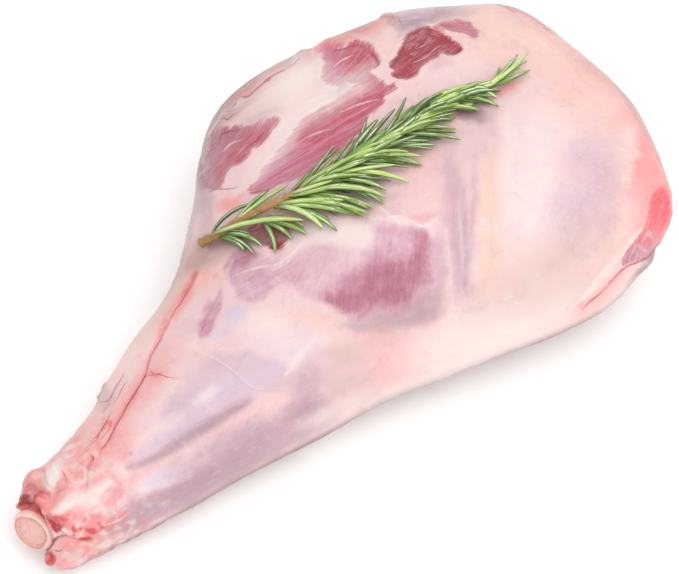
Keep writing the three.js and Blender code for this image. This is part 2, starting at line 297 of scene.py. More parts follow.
def inside(spots, path):
    """Whether each spot lies inside a closed path."""
    crossed = np.zeros(len(spots), bool)
    for (x1, y1), (x2, y2) in zip(path, path[1:]):
        spans = (y1 > spots[:, 1]) != (y2 > spots[:, 1])
        with np.errstate(divide="ignore", invalid="ignore"):
            at = (x2 - x1) * (spots[:, 1] - y1) / (y2 - y1) + x1
        crossed ^= spans & (spots[:, 0] < at)
    return crossed


def near_to(path, margin):
    """The points that the camera sees within a margin of a path."""
    low = path.min(0) - margin
    high = path.max(0) + margin
    return np.flatnonzero((facing > 0) & (places > low).all(1) & (places < high).all(1))


def add_marks(at, press, more):
    """Lays more of some marks over what is there; a negative amount wipes a mark away."""
    for name, amount in more.items():
        mark = marks[name]
        more_of_it = amount * press
        added = mark[at] + (1 - mark[at]) * more_of_it if amount >= 0 else mark[at] * (1 + more_of_it)
        mark[at] = added


def along_and_across(steps, turn):
    """Steps in the picture, told along a direction at an angle and across it."""
    c, s = math.cos(math.radians(turn)), math.sin(math.radians(turn))
    return steps[:, 0] * c - steps[:, 1] * s, steps[:, 0] * s + steps[:, 1] * c


def comb(at, turn):
    """Lays the fibres at an angle in the picture."""
    along, across = along_and_across(places[at] / PIXELS_PER_MILLIMETRE, turn)
    grain[at] = np.stack((along, across, 0 * across), 1)


def wandered(at, stray):
    """Where points come in the picture, moved by a share of the wander."""
    return places[at] + (strayed[at] - places[at]) * stray


def depth_inside(path, at, stray):
    """How deep points lie inside a closed path, in pixels; below 0 they are outside."""
    spots = wandered(at, stray)
    return path_gap(spots, path)[0] * np.where(inside(spots, path), 1, -1)


def window(corners, tone, turn, fray=0.5, sunk=0, lip=0, stray=0.4, **more):
    """Bare muscle inside an outline, with its fibres at an angle in the picture."""
    path = closed_curve(corners)
    at = near_to(path, 14)
    gap = depth_inside(path, at, stray)
    front = facing[at]
    depth = np.clip(gap, -EDGE_REACH, EDGE_REACH)
    edge[at] = np.maximum(edge[at], depth * front - EDGE_REACH * (1 - front))
    share = soft_step(-8, -1, gap)
    marks["tone"][at] = marks["tone"][at] * (1 - share) + tone * share
    marks["fray"][at] = marks["fray"][at] * (1 - share) + fray * share
    lift[at] += front * (lip * np.exp(-(((gap + 3.5) / 3) ** 2)) - sunk * soft_step(-1, 4, gap))
    comb(at[gap > -8], turn)
    add_marks(at, front * soft_step(-2, 3, gap), more)


def area(corners, soft, turn, tone=0.4, stray=1.0, **more):
    """Colours inside a soft outline, such as muscle that shines through the membrane."""
    path = closed_curve(corners)
    at = near_to(path, 2 * soft)
    gap = depth_inside(path, at, stray)
    share = soft_step(-soft, soft, gap) * facing[at]
    inner = share > 0.02
    shown_tone = marks["tone"][at]
    marks["tone"][at] = np.where(inner, shown_tone * (1 - share) + tone * share, shown_tone)
    comb(at[inner], turn)
    add_marks(at, share, more)


def stroke(corners, width, rise=0, taper=0.5, stray=0.4, patchy=0.0, **more):
    """A soft line on the surface, its width in pixels and its rise in millimetres."""
    path = open_curve(corners)
    at = near_to(path, 3 * width)
    gap, share, _ = path_gap(wandered(at, stray), path)
    width = width * (1 - taper * (2 * share - 1) ** 2)
    press = np.exp(-((gap / width) ** 2)) * facing[at]
    lift[at] += rise * press
    add_marks(at, press * (1 - patchy * (0.5 + 0.5 * breaks[at])), more)


def thread(corners, width, line="cut", red=0.5, rise=0, stray=0.15, taper=0.7):
    """A thin crisp line: a dark slit, or a white strand when the line is strand."""
    path = open_curve(corners)
    at = near_to(path, 10)
    gap, share, side = path_gap(wandered(at, stray), path)
    shape = width * (1 - taper * (2 * share - 1) ** 2)
    reach = gap + OFF * (1 - facing[at])
    nearer = reach < lines[line + "_gap"][at]
    chosen = at[nearer]
    lines[line + "_gap"][chosen] = reach[nearer]
    lines[line][chosen] = (side * gap / shape)[nearer]
    if line == "cut":
        marks["cut_red"][chosen] = red
    lift[at] += rise * np.exp(-((gap / (1.5 + shape)) ** 2)) * facing[at]


def patch(middle, reach, turn=0, rise=0, by=None, **more):
    """A soft oval of colour or relief, its half sizes in pixels and its turn in the picture."""
    along, across = along_and_across(strayed - middle, turn)
    distance = np.hypot(along / reach[0], across / reach[1])
    at = np.flatnonzero((distance < PATCH_REACH) & (facing > 0))
    press = (1 - soft_step(0.25, PATCH_REACH, distance[at])) * facing[at] * (1 if by is None else by[at])
    lift[at] += rise * press
    add_marks(at, press, more)


def everywhere(name, amount):
    """Lays more of a mark over the whole surface."""
    marks[name] += (1 - marks[name]) * amount


breaks = ripple(0.006, 9)
thin_rim = soft_step(0.5, 0.22, normals @ to_eye)  # the last few pixels before the outline
broad_rim = soft_step(0.7, 0.35, normals @ to_eye)

# Broad colours of the fat and the membrane on the rump; its white patches are painted highlights,
# with painted lilac sheen on the dome.
patch((520, 40), (100, 34), -15, warm=0.8, flush=0.15)
patch((600, 100), (50, 60), -50, warm=0.6, flush=0.15)
patch((575, 85), (34, 22), flush=0.18)
patch((545, 135), (40, 30), white=0.3, cool=0.25)
patch((592, 185), (40, 62), -10, mauve=0.34, cool=0.3)
patch((600, 210), (22, 30), mauve=0.2)
patch((560, 225), (26, 26), mauve=0.12, dull=0.05)
patch((530, 195), (24, 60), white=0.4, cool=0.3)
patch((508, 165), (10, 60), white=0.35)
patch((648, 165), (16, 60), -12, flush=0.75)
patch((640, 110), (12, 34), -60, flush=0.4, warm=0.3)
patch((668, 200), (10, 34), -8, flush=0.8, blood=0.15)
patch((672, 232), (8, 18), -30, flush=0.2, dull=0.2)
patch((620, 185), (18, 60), warm=0.5)
patch((625, 235), (24, 22), 50, warm=0.4, flush=0.2)
patch((490, 225), (13, 74), warm=0.9, flush=0.1)
patch((560, 270), (80, 40), 15, warm=0.5, white=0.1, dull=0.13)
patch((535, 290), (60, 30), 15, dull=0.12, warm=0.2)
patch((575, 235), (30, 24), mauve=0.12, dull=0.05)
patch((300, 385), (30, 16), 20, mauve=0.35)
patch((250, 440), (60, 14), 28, mauve=0.3)
patch((190, 480), (40, 12), 28, mauve=0.25, dull=0.05)
patch((500, 320), (90, 30), 22, white=0.3)
patch((590, 300), (40, 14), 40, flush=0.35, warm=0.3)
patch((600, 310), (30, 12), 40, flush=0.3)
patch((470, 345), (60, 24), 18, warm=0.45, white=0.5)
patch((395, 365), (36, 34), flush=0.38)
patch((385, 335), (30, 12), flush=0.25, dull=0.08)
patch((475, 310), (14, 22), dull=0.12)
patch((440, 330), (30, 14), warm=0.3)
patch((350, 350), (24, 14), 15, warm=0.5, dull=0.14)
patch((350, 390), (36, 24), 30, warm=0.3, dull=0.12)
patch((405, 395), (40, 12), 25, warm=0.5, white=0.2)

# The pink middle with its grey-mauve bands, and the fat round the windows above it.
patch((430, 190), (40, 60), 10, flush=0.2, cool=0.1)
patch((415, 165), (24, 16), 15, flush=0.15, warm=0.3)
patch((455, 215), (9, 60), 4, mauve=0.32)
patch((468, 240), (8, 50), -3, mauve=0.3)
patch((476, 190), (5, 30), 2, mauve=0.3)
patch((478, 130), (16, 30), 10, mauve=0.3)
patch((460, 275), (14, 22), mauve=0.25)
# Painted shadow under the leaves near the tip of the sprig.
patch((470, 113), (18, 8), -12, mauve=0.95, dull=0.5)
patch((493, 125), (6, 18), mauve=0.35)
patch((440, 165), (20, 5), -30, mauve=0.12)
patch((405, 210), (30, 14), -10, mauve=0.16, cool=0.1)
patch((425, 218), (14, 6), 20, flush=0.3)
patch((420, 18), (26, 10), 8, mauve=0.8, dull=0.15)
patch((408, 20), (14, 10), mauve=0.8, dull=0.2)
patch((405, 30), (8, 14), -10, mauve=0.55, cool=0.2)
patch((445, 14), (30, 8), 6, mauve=0.6, warm=0.3)
thread([(396, 10), (398, 18), (402, 26)], 0.5, red=0.3)
patch((470, 30), (20, 10), mauve=0.25)
patch((445, 75), (30, 12), 10, cool=0.12, white=0.1)
patch((350, 32), (44, 9), 20, warm=0.7, flush=0.45)
patch((352, 34), (10, 4), 10, flush=0.6)
patch((375, 44), (24, 14), warm=0.45, flush=0.1)
patch((505, 88), (18, 8), 25, flush=0.6)
patch((330, 98), (14, 60), -58, white=0.6)
# Painted highlight near the far edge.
patch((285, 88), (44, 20), 30, white=0.45, warm=0.3)
patch((270, 155), (44, 10), 48, white=0.55, flush=0.1)
patch((250, 105), (34, 20), 40, dull=0.14, warm=0.25, mauve=0.12)
patch((262, 116), (26, 5), 22, mauve=0.45)
patch((342, 91), (8, 3.5), 25, mauve=0.7, cool=0.4)
patch((300, 180), (24, 10), 15, veil=0.45, tone=0.35, mauve=0.2)
patch((280, 200), (26, 6), 25, mauve=0.5)
patch((262, 188), (12, 10), 30, veil=0.3, flush=0.2)
patch((232, 202), (15, 10), 20, flush=0.6, warm=0.3)
patch((222, 207), (10, 6), 10, flush=0.5)
patch((245, 192), (16, 4), 35, flush=0.5)
patch((205, 215), (9, 30), -4, mauve=0.4, dull=0.12)
patch((200, 235), (12, 16), mauve=0.1)
patch((232, 235), (34, 8), 18, dull=0.25, mauve=0.2)
patch((214, 252), (12, 34), -60, dull=0.45, warm=0.4)
patch((213, 275), (14, 26), -60, warm=0.8, flush=0.2)
patch((320, 232), (30, 10), 15, white=0.5, cool=0.2)
patch((355, 232), (16, 12), white=0.5, flush=0.1)

patch((457, 215), (16, 74), 3, mauve=0.42)
patch((447, 262), (16, 24), mauve=0.25)
patch((400, 240), (34, 14), mauve=0.15)
patch((660, 180), (16, 60), -8, flush=0.4)
patch((655, 300), (10, 10), dull=0.1)
patch((235, 285), (40, 30), flush=0.12)
patch((438, 180), (16, 40), 8, mauve=0.18)
# Painted shadow of the sprig on the meat beside and below it.
patch((270, 236), (64, 8), 6, dull=0.4, mauve=0.4)
patch((232, 246), (26, 7), -12, dull=0.35, mauve=0.3)
patch((340, 215), (50, 7), 8, dull=0.2, mauve=0.2)
patch((440, 142), (30, 6), 20, dull=0.12, mauve=0.15)
patch((372, 200), (30, 6), 12, dull=0.15, mauve=0.3)
# Painted light that brightens the sprig's cast shadow below the leaves.
patch((345, 236), (30, 12), -5, white=0.6, flush=0.12)
patch((338, 92), (22, 8), 25, mauve=0.25)
patch((352, 322), (18, 8), mauve=0.25)
patch((590, 180), (60, 60), mauve=0.16)
patch((580, 150), (14, 12), cool=0.3, mauve=0.1)
patch((604, 170), (12, 14), mauve=0.14)
patch((572, 200), (16, 10), 20, cool=0.3)
patch((545, 255), (26, 18), 10, dull=0.06)
patch((562, 250), (30, 16), flush=-0.5, cool=0.1)
patch((440, 62), (14, 8), 20, mauve=0.4, flush=0.1)
# Painted highlights across the lower rump.
patch((410, 390), (80, 12), 22, white=0.35)
patch((540, 320), (70, 14), 22, white=0.3)
patch((500, 345), (60, 12), 20, white=0.3)

BAND_BESIDE_MIDDLE = [
    (442, 150), (462, 140), (480, 150), (486, 200), (484, 250), (474, 295), (456, 300), (446, 260),
    (444, 200),
]
area(BAND_BESIDE_MIDDLE, soft=9, turn=86, mauve=0.16)
stroke([(452, 205), (455, 235), (458, 262)], 2.4, mauve=0.35, patchy=0.4)
stroke([(462, 190), (466, 225), (467, 258), (464, 285)], 3, mauve=0.35, dull=0.08, patchy=0.4)
stroke([(458, 200), (461, 235), (462, 270)], 1.8, white=0.3, patchy=0.3)
stroke([(446, 228), (449, 255), (451, 285)], 2.2, warm=0.5, white=0.3)
stroke([(472, 175), (474, 205), (472, 235)], 2, mauve=0.3, patchy=0.4)
stroke([(484, 205), (486, 240), (483, 275)], 5, warm=0.7)
# A crescent fold of membrane, its bright edge a painted highlight.
stroke([(378, 204), (392, 217), (408, 225), (424, 227), (438, 218)], 3, rise=0.5, white=0.5, cool=0.2,
    stray=0.6)
stroke([(384, 208), (400, 214), (418, 218), (430, 214)], 4, flush=0.15, mauve=0.12, stray=0.6)
thread([(552, 127), (556, 124), (560, 127), (558, 131)], 0.7, line="strand", rise=0.3)
thread([(510, 249), (514, 246), (518, 249)], 0.8, line="strand", rise=0.3)
thread([(500, 300), (508, 296), (518, 294)], 0.7, line="strand", rise=0.3, stray=1)
thread([(512, 306), (520, 304), (526, 308)], 0.6, line="strand", rise=0.3, stray=1)

# The far edge, where thin muscle lies along the rim under the skin, darkened further with painted shade.
stroke([(201, 190), (199, 160), (205, 130), (218, 106), (236, 90)], 4.5, mauve=0.6, dull=0.45, stray=0.2)
stroke([(236, 92), (250, 80), (264, 70)], 4, flush=0.9, dull=0.25, blood=0.3, stray=0.2)
stroke([(262, 72), (290, 54), (318, 42), (345, 32)], 3.6, mauve=0.4, dull=0.35, flush=0.4, stray=0.2)
stroke([(345, 30), (366, 22), (384, 14)], 3.6, flush=0.6, dull=0.15, stray=0.2)
stroke([(398, 6), (440, 5), (470, 3)], 3.6, mauve=0.4, dull=0.2, stray=0.2)
stroke([(560, 30), (590, 52), (616, 82), (638, 120), (654, 152)], 3, flush=0.45, dull=0.3, stray=0.2)
stroke([(656, 156), (668, 180), (675, 205), (672, 228)], 3, flush=0.8, dull=0.3, stray=0.2)
stroke([(672, 228), (662, 256), (640, 284)], 2.6, dull=0.5, mauve=0.3, stray=0.2)
stroke([(206, 180), (203, 150), (214, 122), (236, 98), (262, 78), (300, 54), (320, 45)], 7, mauve=0.4,
    dull=0.16)
stroke([(204, 190), (200, 150), (210, 120), (232, 95), (258, 75)], 5, dull=0.35, mauve=0.2)
stroke([(214, 160), (222, 128), (240, 104), (262, 88)], 5, dull=0.12, mauve=0.16)
stroke([(207, 180), (209, 150), (221, 122), (244, 99)], 2.6, mauve=0.5, dull=0.15, patchy=0.5, stray=0.8)
stroke([(213, 138), (226, 116), (246, 98)], 1.8, white=0.5, patchy=0.5, stray=0.8)
stroke([(230, 118), (250, 100), (276, 84)], 2.2, mauve=0.4, dull=0.1, patchy=0.5, stray=0.8)
stroke([(222, 122), (240, 108), (262, 96)], 1.6, flush=0.4, patchy=0.5, stray=0.8)
stroke([(290, 66), (305, 58), (322, 52)], 2, white=0.4, patchy=0.5, stray=0.8)
thread([(202, 182), (203, 152), (211, 124), (230, 98)], 0.6, red=0.4, stray=0.5)
thread([(232, 95), (246, 84), (262, 73)], 0.8, red=1, stray=0.5)
thread([(262, 73), (290, 56), (322, 42), (348, 32)], 0.5, red=0.6, stray=0.5)
thread([(212, 150), (222, 126), (240, 106)], 0.4, red=0.6, stray=0.8)
thread([(224, 118), (244, 98), (270, 80), (300, 62)], 0.4, red=0.8, stray=0.8)
stroke([(240, 92), (250, 86), (258, 80)], 3.4, flush=0.9, blood=0.3, patchy=0.4, stray=0.8)
stroke([(342, 38), (352, 32), (364, 28)], 3, flush=0.8, blood=0.25, patchy=0.4, stray=0.8)
stroke([(236, 96), (246, 88), (258, 80)], 4.5, flush=0.9, patchy=0.3)
stroke([(226, 104), (240, 100), (250, 92)], 3, flush=0.4)
stroke([(262, 80), (285, 65), (310, 52), (330, 47)], 6, veil=0.35, tone=0.35, stray=0.7, patchy=0.5)
stroke([(280, 74), (305, 60), (328, 56)], 4, veil=0.3, tone=0.3, stray=0.7, patchy=0.4)

# The veiled muscles behind the sprig, and the pink-mauve membrane round them.
FIRST_VEILED_MUSCLE = [
    (228, 262), (232, 253), (244, 249), (258, 250), (268, 256), (275, 264), (272, 276), (274, 288),
    (266, 298), (252, 303), (240, 300), (231, 290), (227, 277),
]
area(FIRST_VEILED_MUSCLE, soft=6, turn=30, tone=0.36, veil=0.9)
SECOND_VEILED_MUSCLE = [
    (262, 266), (272, 258), (288, 252), (302, 246), (320, 240), (334, 243), (336, 256), (324, 268),
    (308, 278), (292, 287), (276, 292), (266, 284),
]
area(SECOND_VEILED_MUSCLE, soft=8, turn=30, tone=0.26, veil=0.6)
THIRD_VEILED_MUSCLE = [
    (296, 280), (318, 262), (340, 250), (365, 245), (372, 262), (352, 282), (330, 296), (308, 302),
]
area(THIRD_VEILED_MUSCLE, soft=10, turn=70, tone=0.22, veil=0.5)
LARGE_VEILED_MUSCLE = [
    (322, 300), (330, 288), (344, 276), (358, 266), (370, 252), (368, 236), (372, 224), (388, 221),
    (404, 226), (420, 228), (432, 238), (439, 255), (440, 278), (434, 298), (420, 310), (398, 320),
    (374, 324), (352, 318), (336, 310),
]
area(LARGE_VEILED_MUSCLE, soft=10, turn=84, tone=0.4, veil=1)
SMALL_VEILED_MUSCLE = [
    (204, 306), (211, 297), (219, 292), (224, 298), (221, 310), (216, 322), (212, 334), (204, 338),
    (198, 330), (201, 318),
]
area(SMALL_VEILED_MUSCLE, soft=4, turn=60, tone=0.4, veil=0.85)
patch((190, 326), (14, 10), 50, veil=0.3, tone=0.3)
# Painted lilac highlights beside the small veiled muscle.
patch((235, 313), (14, 12), 40, cool=0.9)
patch((222, 332), (12, 8), 40, cool=0.6)
patch((384, 285), (38, 20), 18, tone=0.7)
patch((345, 300), (22, 12), 12, tone=0.45)
patch((418, 256), (10, 26), -4, tone=0.5)
patch((385, 238), (24, 14), tone=-0.5)
patch((245, 258), (14, 8), 20, tone=0.45, dull=0.12)
patch((245, 292), (20, 10), tone=-0.3)
patch((428, 303), (20, 18), 30, mauve=0.6, veil=-0.65, dull=0.18)
patch((390, 320), (44, 11), 8, mauve=0.7, veil=-0.6, dull=0.22)
patch((439, 265), (6, 30), mauve=0.45, veil=-0.4, dull=0.12)
patch((398, 302), (20, 8), 10, dull=0.12)
patch((352, 242), (20, 14), 20, flush=0.15, white=0.25)

# The shank: muscle shows grey-mauve and lilac through the membrane, between paler tendons and fat.
NEAR_SHANK_MUSCLE = [
    (100, 536), (112, 512), (146, 494), (182, 478), (212, 460), (243, 440), (274, 418), (305, 400),
    (332, 400), (345, 412), (330, 428), (290, 453), (250, 476), (210, 498), (170, 516), (136, 532),
]
area(NEAR_SHANK_MUSCLE, soft=9, turn=29, mauve=0.72, dull=0.06)
MIDDLE_SHANK_MUSCLE = [
    (130, 462), (146, 440), (158, 415), (180, 388), (205, 360), (235, 350), (268, 356), (290, 366),
    (284, 385), (262, 398), (235, 406), (205, 424), (175, 442), (150, 454),
]
area(MIDDLE_SHANK_MUSCLE, soft=10, turn=29, mauve=0.42, cool=0.55)
CALF_MUSCLE = [
    (284, 398), (298, 368), (316, 344), (345, 344), (374, 362), (372, 386), (346, 404), (312, 414),
    (288, 412),
]
area(CALF_MUSCLE, soft=9, turn=29, mauve=0.32, cool=0.15)
SHANK_TOP_MEMBRANE = [(246, 336), (285, 322), (330, 330), (318, 348), (296, 362), (262, 352)]
area(SHANK_TOP_MEMBRANE, soft=9, turn=20, cool=0.4, white=0.2)
stroke([(128, 468), (152, 460), (190, 437), (220, 419), (248, 402)], 8.5, mauve=0.75, dull=0.05)
stroke([(152, 462), (172, 448), (194, 433), (218, 420), (242, 406)], 6, mauve=0.5, dull=0.1, patchy=0.3)
stroke([(176, 444), (196, 432), (214, 424)], 2.4, mauve=0.5, dull=0.15)
stroke([(120, 458), (150, 446), (185, 427), (215, 407), (240, 394)], 5, cool=0.55, mauve=-0.2)
stroke([(196, 402), (225, 388), (262, 374), (292, 350)], 9, cool=0.5, mauve=-0.15)
# Painted highlight on the shank's lilac membrane.
patch((205, 395), (16, 6), 30, white=0.5, cool=0.3)
patch((165, 425), (24, 6), 25, white=0.35, flush=0.15)
patch((172, 500), (60, 10), 27, mauve=0.3, dull=0.08)
patch((225, 466), (46, 12), 28, mauve=0.35, dull=0.06)
stroke([(200, 455), (240, 436), (275, 420)], 7, mauve=0.3)
# Lilac membrane on the shank with painted sheen, and a painted glint beside it.
patch((160, 480), (34, 9), 25, cool=0.85, mauve=-0.3)
patch((152, 486), (18, 6), 15, white=0.35)
stroke([(96, 496), (122, 483), (156, 465), (191, 446), (226, 428), (256, 414), (290, 400)], 3.6, rise=0.5,
    flush=0.25, warm=0.25, mauve=-0.6, cool=-0.6)
stroke([(158, 466), (186, 452), (210, 440)], 2.4, warm=0.5, white=0.2)
patch((225, 442), (60, 12), 30, mauve=0.45)
patch((200, 440), (60, 20), 30, mauve=0.3)
patch((170, 470), (30, 12), 28, mauve=0.25)
stroke([(120, 484), (140, 478), (152, 470)], 5, flush=0.4, patchy=0.4)
patch((308, 376), (14, 24), -10, mauve=0.3)
patch((330, 412), (30, 10), 28, white=0.4, mauve=-0.4)
patch((240, 470), (50, 14), 28, dull=0.08)
patch((270, 402), (26, 8), 20, warm=0.4, mauve=-0.5)
# Painted highlight on warm fat at the top of the shank.
patch((262, 322), (30, 12), 5, white=0.5, warm=0.2)
patch((310, 322), (30, 12), -5, warm=0.6, flush=0.15)
stroke([(286, 374), (300, 354), (314, 338)], 4, rise=0.3, white=0.4, cool=0.2, mauve=-0.5)
patch((215, 362), (30, 8), -15, warm=0.25, dull=0.06)

# The red seam between the shin and the heel muscles, and the fat along it.
patch((136, 392), (16, 70), -38, flush=0.5)
patch((160, 372), (20, 12), 10, flush=0.25)
patch((122, 440), (24, 20), 40, flush=0.35)
patch((105, 455), (30, 14), 50, flush=0.35)
patch((180, 302), (10, 34), -35, flush=0.65)
patch((88, 425), (24, 12), 50, flush=0.35, warm=0.6)
patch((125, 352), (12, 40), -35, white=0.3, warm=0.6)
patch((150, 315), (16, 34), -40, warm=0.4, dull=0.16)
patch((180, 265), (10, 34), -22, mauve=0.25, dull=0.2, warm=0.3)
patch((195, 262), (9, 24), -30, dull=0.25, warm=0.6)
patch((104, 400), (10, 12), dull=0.25, warm=0.3)
stroke([(196, 272), (190, 284), (183, 296), (177, 306)], 4.2, rise=-0.9, flush=0.9, blood=0.5, patchy=0.4)
stroke([(168, 320), (160, 336), (150, 356), (143, 374)], 3.2, rise=-0.7, flush=0.7, blood=0.12)
stroke([(143, 374), (132, 394), (118, 418), (104, 446)], 3.4, rise=-0.9, flush=0.65, blood=0.14)
UPPER_SEAM = [(200, 270), (192, 284), (182, 298), (173, 314), (164, 332), (152, 352), (144, 372)]
LOWER_SEAM = [(144, 372), (137, 386), (128, 400), (120, 416), (110, 434), (100, 450)]
thread(UPPER_SEAM, 0.5, red=0.9)
thread(LOWER_SEAM, 0.8, red=0.75, rise=-0.6)
stroke(LOWER_SEAM, 2, mauve=0.7, blood=0.1)
stroke(UPPER_SEAM[2:], 1.6, mauve=0.4)
thread([(148, 375), (158, 374), (168, 377), (177, 378)], 0.5, red=0.7, rise=-0.3)
thread([(150, 369), (154, 374), (160, 372)], 0.5, red=1)
thread([(112, 412), (106, 422), (98, 434), (90, 442)], 0.6, red=0.7)
patch((153, 373), (6, 4), 10, flush=0.8, blood=0.4)
patch((107, 424), (4, 5), rise=-0.4, blood=0.55, flush=0.5)
patch((101, 428), (4, 3), blood=0.4, flush=0.5)
patch((91, 458), (4, 4), rise=-0.5, blood=0.5, flush=0.6)
patch((130, 452), (2, 2), rise=-0.3, dull=0.3, blood=0.2)
thread([(112, 405), (120, 396), (127, 380)], 0.4, red=1, stray=0.6)
thread([(100, 440), (108, 430), (112, 420)], 0.4, red=1, stray=0.6)
thread([(84, 446), (94, 440), (100, 430)], 0.4, red=1, stray=0.6)
thread([(76, 458), (84, 466), (94, 470)], 0.4, red=1, stray=0.6)
thread([(96, 404), (106, 400), (116, 388), (124, 372)], 0.4, red=0.8, stray=0.6)
thread([(60, 470), (66, 478), (66, 486)], 0.5, red=1, stray=0.6)
stroke([(120, 420), (128, 410), (136, 392)], 2.4, flush=0.5, blood=0.15, patchy=0.5, stray=0.8)
stroke([(150, 352), (160, 334), (166, 318)], 2.4, flush=0.5, blood=0.1, patchy=0.5, stray=0.8)
stroke([(126, 368), (138, 352), (150, 330)], 2, flush=0.25, patchy=0.5, stray=0.8)
stroke([(99, 398), (101, 390), (107, 385)], 2.2, rise=1.2, dull=0.2, blood=0.45)
stroke([(104, 412), (112, 394), (124, 374)], 1.6, dull=0.2, flush=0.3)
stroke([(86, 486), (88, 470), (92, 456)], 2, rise=-0.8, flush=0.4, dull=0.25)
thread([(89, 454), (93, 457), (93, 462)], 0.5, red=0.7, rise=-0.3)

# The shank end, torn where the joint was broken: gristle, tendon stumps and raw red flesh.
patch((70, 495), (60, 64), 30, flush=0.45)
patch((44, 520), (36, 44), -20, flush=0.6)
patch((70, 545), (30, 20), 15, flush=0.35)
patch((34, 481), (14, 13), flush=0.45, warm=0.7, dull=0.1)
patch((40, 473), (5, 7), -30, warm=0.8, flush=0.35)
patch((51, 476), (7, 13), -20, rise=1.0, white=1, flush=-0.95)
patch((30, 487), (6, 3), dull=0.35, flush=0.3)
stroke([(26, 487), (31, 485), (35, 488)], 1.6, rise=-0.4, dull=0.4, flush=0.3)
stroke([(28, 476), (34, 474), (38, 478)], 1.6, rise=-0.4, flush=0.4)
stroke([(44, 468), (44, 477), (48, 485), (55, 487), (58, 481)], 1.6, rise=-0.6, flush=0.6, dull=0.15)
stroke([(37, 490), (44, 492), (52, 491), (58, 490)], 2.6, rise=-0.6, flush=1, blood=0.35, patchy=0.4)
stroke([(58, 491), (70, 489), (84, 485)], 1.6, rise=-0.3, flush=0.5)
DARK_STUMP = [(20, 497), (24, 493), (29, 495), (29, 502), (25, 506), (20, 505)]
area(DARK_STUMP, soft=2.5, turn=60, stray=0.8, blood=0.9, dull=0.25)
stroke([(20, 503), (17, 508), (15, 511)], 2.5, rise=1.0, flush=0.9, blood=0.3)
STUMP_OVER_BONE = [(27, 502), (33, 498), (40, 500), (44, 506), (38, 512), (30, 510)]
area(STUMP_OVER_BONE, soft=2.5, turn=20, stray=0.5, flush=1, blood=0.42)
patch((34, 502), (13, 6), -10, rise=1.6)
patch((43, 507), (8, 7), -40, rise=1.2)
STUMP_BESIDE_BONE = [(40, 506), (46, 504), (54, 510), (52, 517), (46, 515)]
area(STUMP_BESIDE_BONE, soft=3, turn=20, flush=0.7)
RAW_HOLLOW = [
    (47, 514), (51, 518), (56, 523), (63, 524), (66, 530), (59, 536), (53, 533), (49, 524),
]
area(RAW_HOLLOW, soft=2.4, turn=50, stray=1, blood=0.85, flush=0.6, dull=0.1)
patch((55, 527), (7, 5), -40, rise=-1.4)
thread([(49, 516), (52, 522), (57, 525), (63, 525)], 0.6, red=0.4, rise=-0.6)
thread([(58, 528), (62, 532), (66, 534)], 0.5, red=0.4)
patch((68, 533), (5, 3), white=0.7, flush=-0.6)
RAW_FLESH = [
    (70, 526), (78, 523), (90, 525), (101, 526), (98, 534), (92, 540), (78, 540), (70, 536),
]
area(RAW_FLESH, soft=3, turn=10, stray=0.8, flush=0.95, blood=0.35)
stroke([(72, 528), (78, 533), (86, 535), (92, 534)], 2.6, blood=0.75, patchy=0.5)
stroke([(78, 525), (84, 530), (90, 528)], 1.6, blood=0.6, patchy=0.4)
stroke([(92, 527), (98, 525), (103, 528)], 1.6, blood=0.5, patchy=0.4)
patch((85, 533), (5, 3), blood=0.5)
thread([(45, 548), (52, 542), (58, 538), (66, 537)], 0.7, red=0.5, rise=-0.9)
thread([(66, 537), (76, 539), (86, 540)], 0.5, red=1, rise=-0.5)
stroke([(46, 549), (54, 542), (62, 539)], 2.4, rise=-0.9, blood=0.6)
patch((53, 546), (9, 6), 25, rise=0.9, flush=-0.3, warm=0.4)
thread([(55, 550), (59, 552), (62, 550)], 0.7, red=0.6, rise=-0.3)
NEAR_STUMP = [(41, 554), (45, 550), (53, 553), (57, 560), (52, 566), (45, 563)]
area(NEAR_STUMP, soft=2.4, turn=40, stray=1, blood=0.85, dull=0.12)
patch((49, 558), (5, 6), rise=0.8)
patch((48, 557), (2.5, 2.5), blood=-0.4, flush=0.7)
patch((78, 547), (14, 7), 15, warm=0.6, flush=0.45)
patch((70, 555), (16, 5), 15, dull=0.1, white=0.2)
patch((85, 554), (2.5, 1.8), -30, dull=0.2, blood=0.4)
thread([(104, 526), (112, 523), (122, 519), (130, 512)], 0.9, line="strand")
patch((120, 535), (34, 12), 18, dull=0.2, flush=0.2, warm=0.3)
stroke([(54, 516), (66, 508), (80, 500), (108, 484)], 8, rise=1.2, white=0.8, flush=-0.75, stray=1.2,
    patchy=0.25)
stroke([(60, 500), (74, 492), (96, 480), (116, 464)], 3, flush=0.6, blood=0.15, stray=1.2, patchy=0.5)
stroke([(66, 514), (84, 506), (104, 498)], 2.6, flush=0.7, blood=0.2, stray=1.2, patchy=0.5)
stroke([(56, 520), (70, 516), (90, 514), (108, 510)], 3, flush=0.8, blood=0.35, stray=1.2, patchy=0.5)
stroke([(70, 462), (82, 470), (84, 484)], 2.2, flush=0.6, blood=0.2, stray=1.2, patchy=0.5)
stroke([(62, 472), (70, 480), (72, 490)], 1.8, flush=0.6, blood=0.25, stray=1.2, patchy=0.4)
stroke([(96, 440), (100, 456), (96, 472)], 2, flush=0.6, blood=0.2, stray=1.2, patchy=0.5)
patch((36, 497), (5, 4), rise=2.2, flush=1, blood=0.6)
patch((38, 506), (10, 5), flush=1, blood=0.3)
stroke([(20, 492), (28, 490), (36, 492), (44, 498)], 2.4, flush=1, blood=0.4, stray=1)
patch((58, 519), (12, 5), -30, flush=0.9, blood=0.6)
stroke([(66, 522), (76, 519), (88, 518), (98, 522)], 3, flush=0.9, blood=0.5, stray=1.4, patchy=0.4)
stroke([(70, 532), (84, 536), (96, 532)], 2.6, flush=0.9, blood=0.55, stray=1.4, patchy=0.4)
patch((96, 528), (8, 4), 10, flush=0.9, blood=0.35)
patch((48, 470), (10, 16), -20, flush=0.25)
patch((88, 532), (22, 10), 10, flush=0.6, blood=0.3)
patch((20, 520), (8, 20), flush=0.7, blood=0.2)
stroke([(86, 470), (92, 486), (104, 512)], 4, white=0.25, cool=0.12)

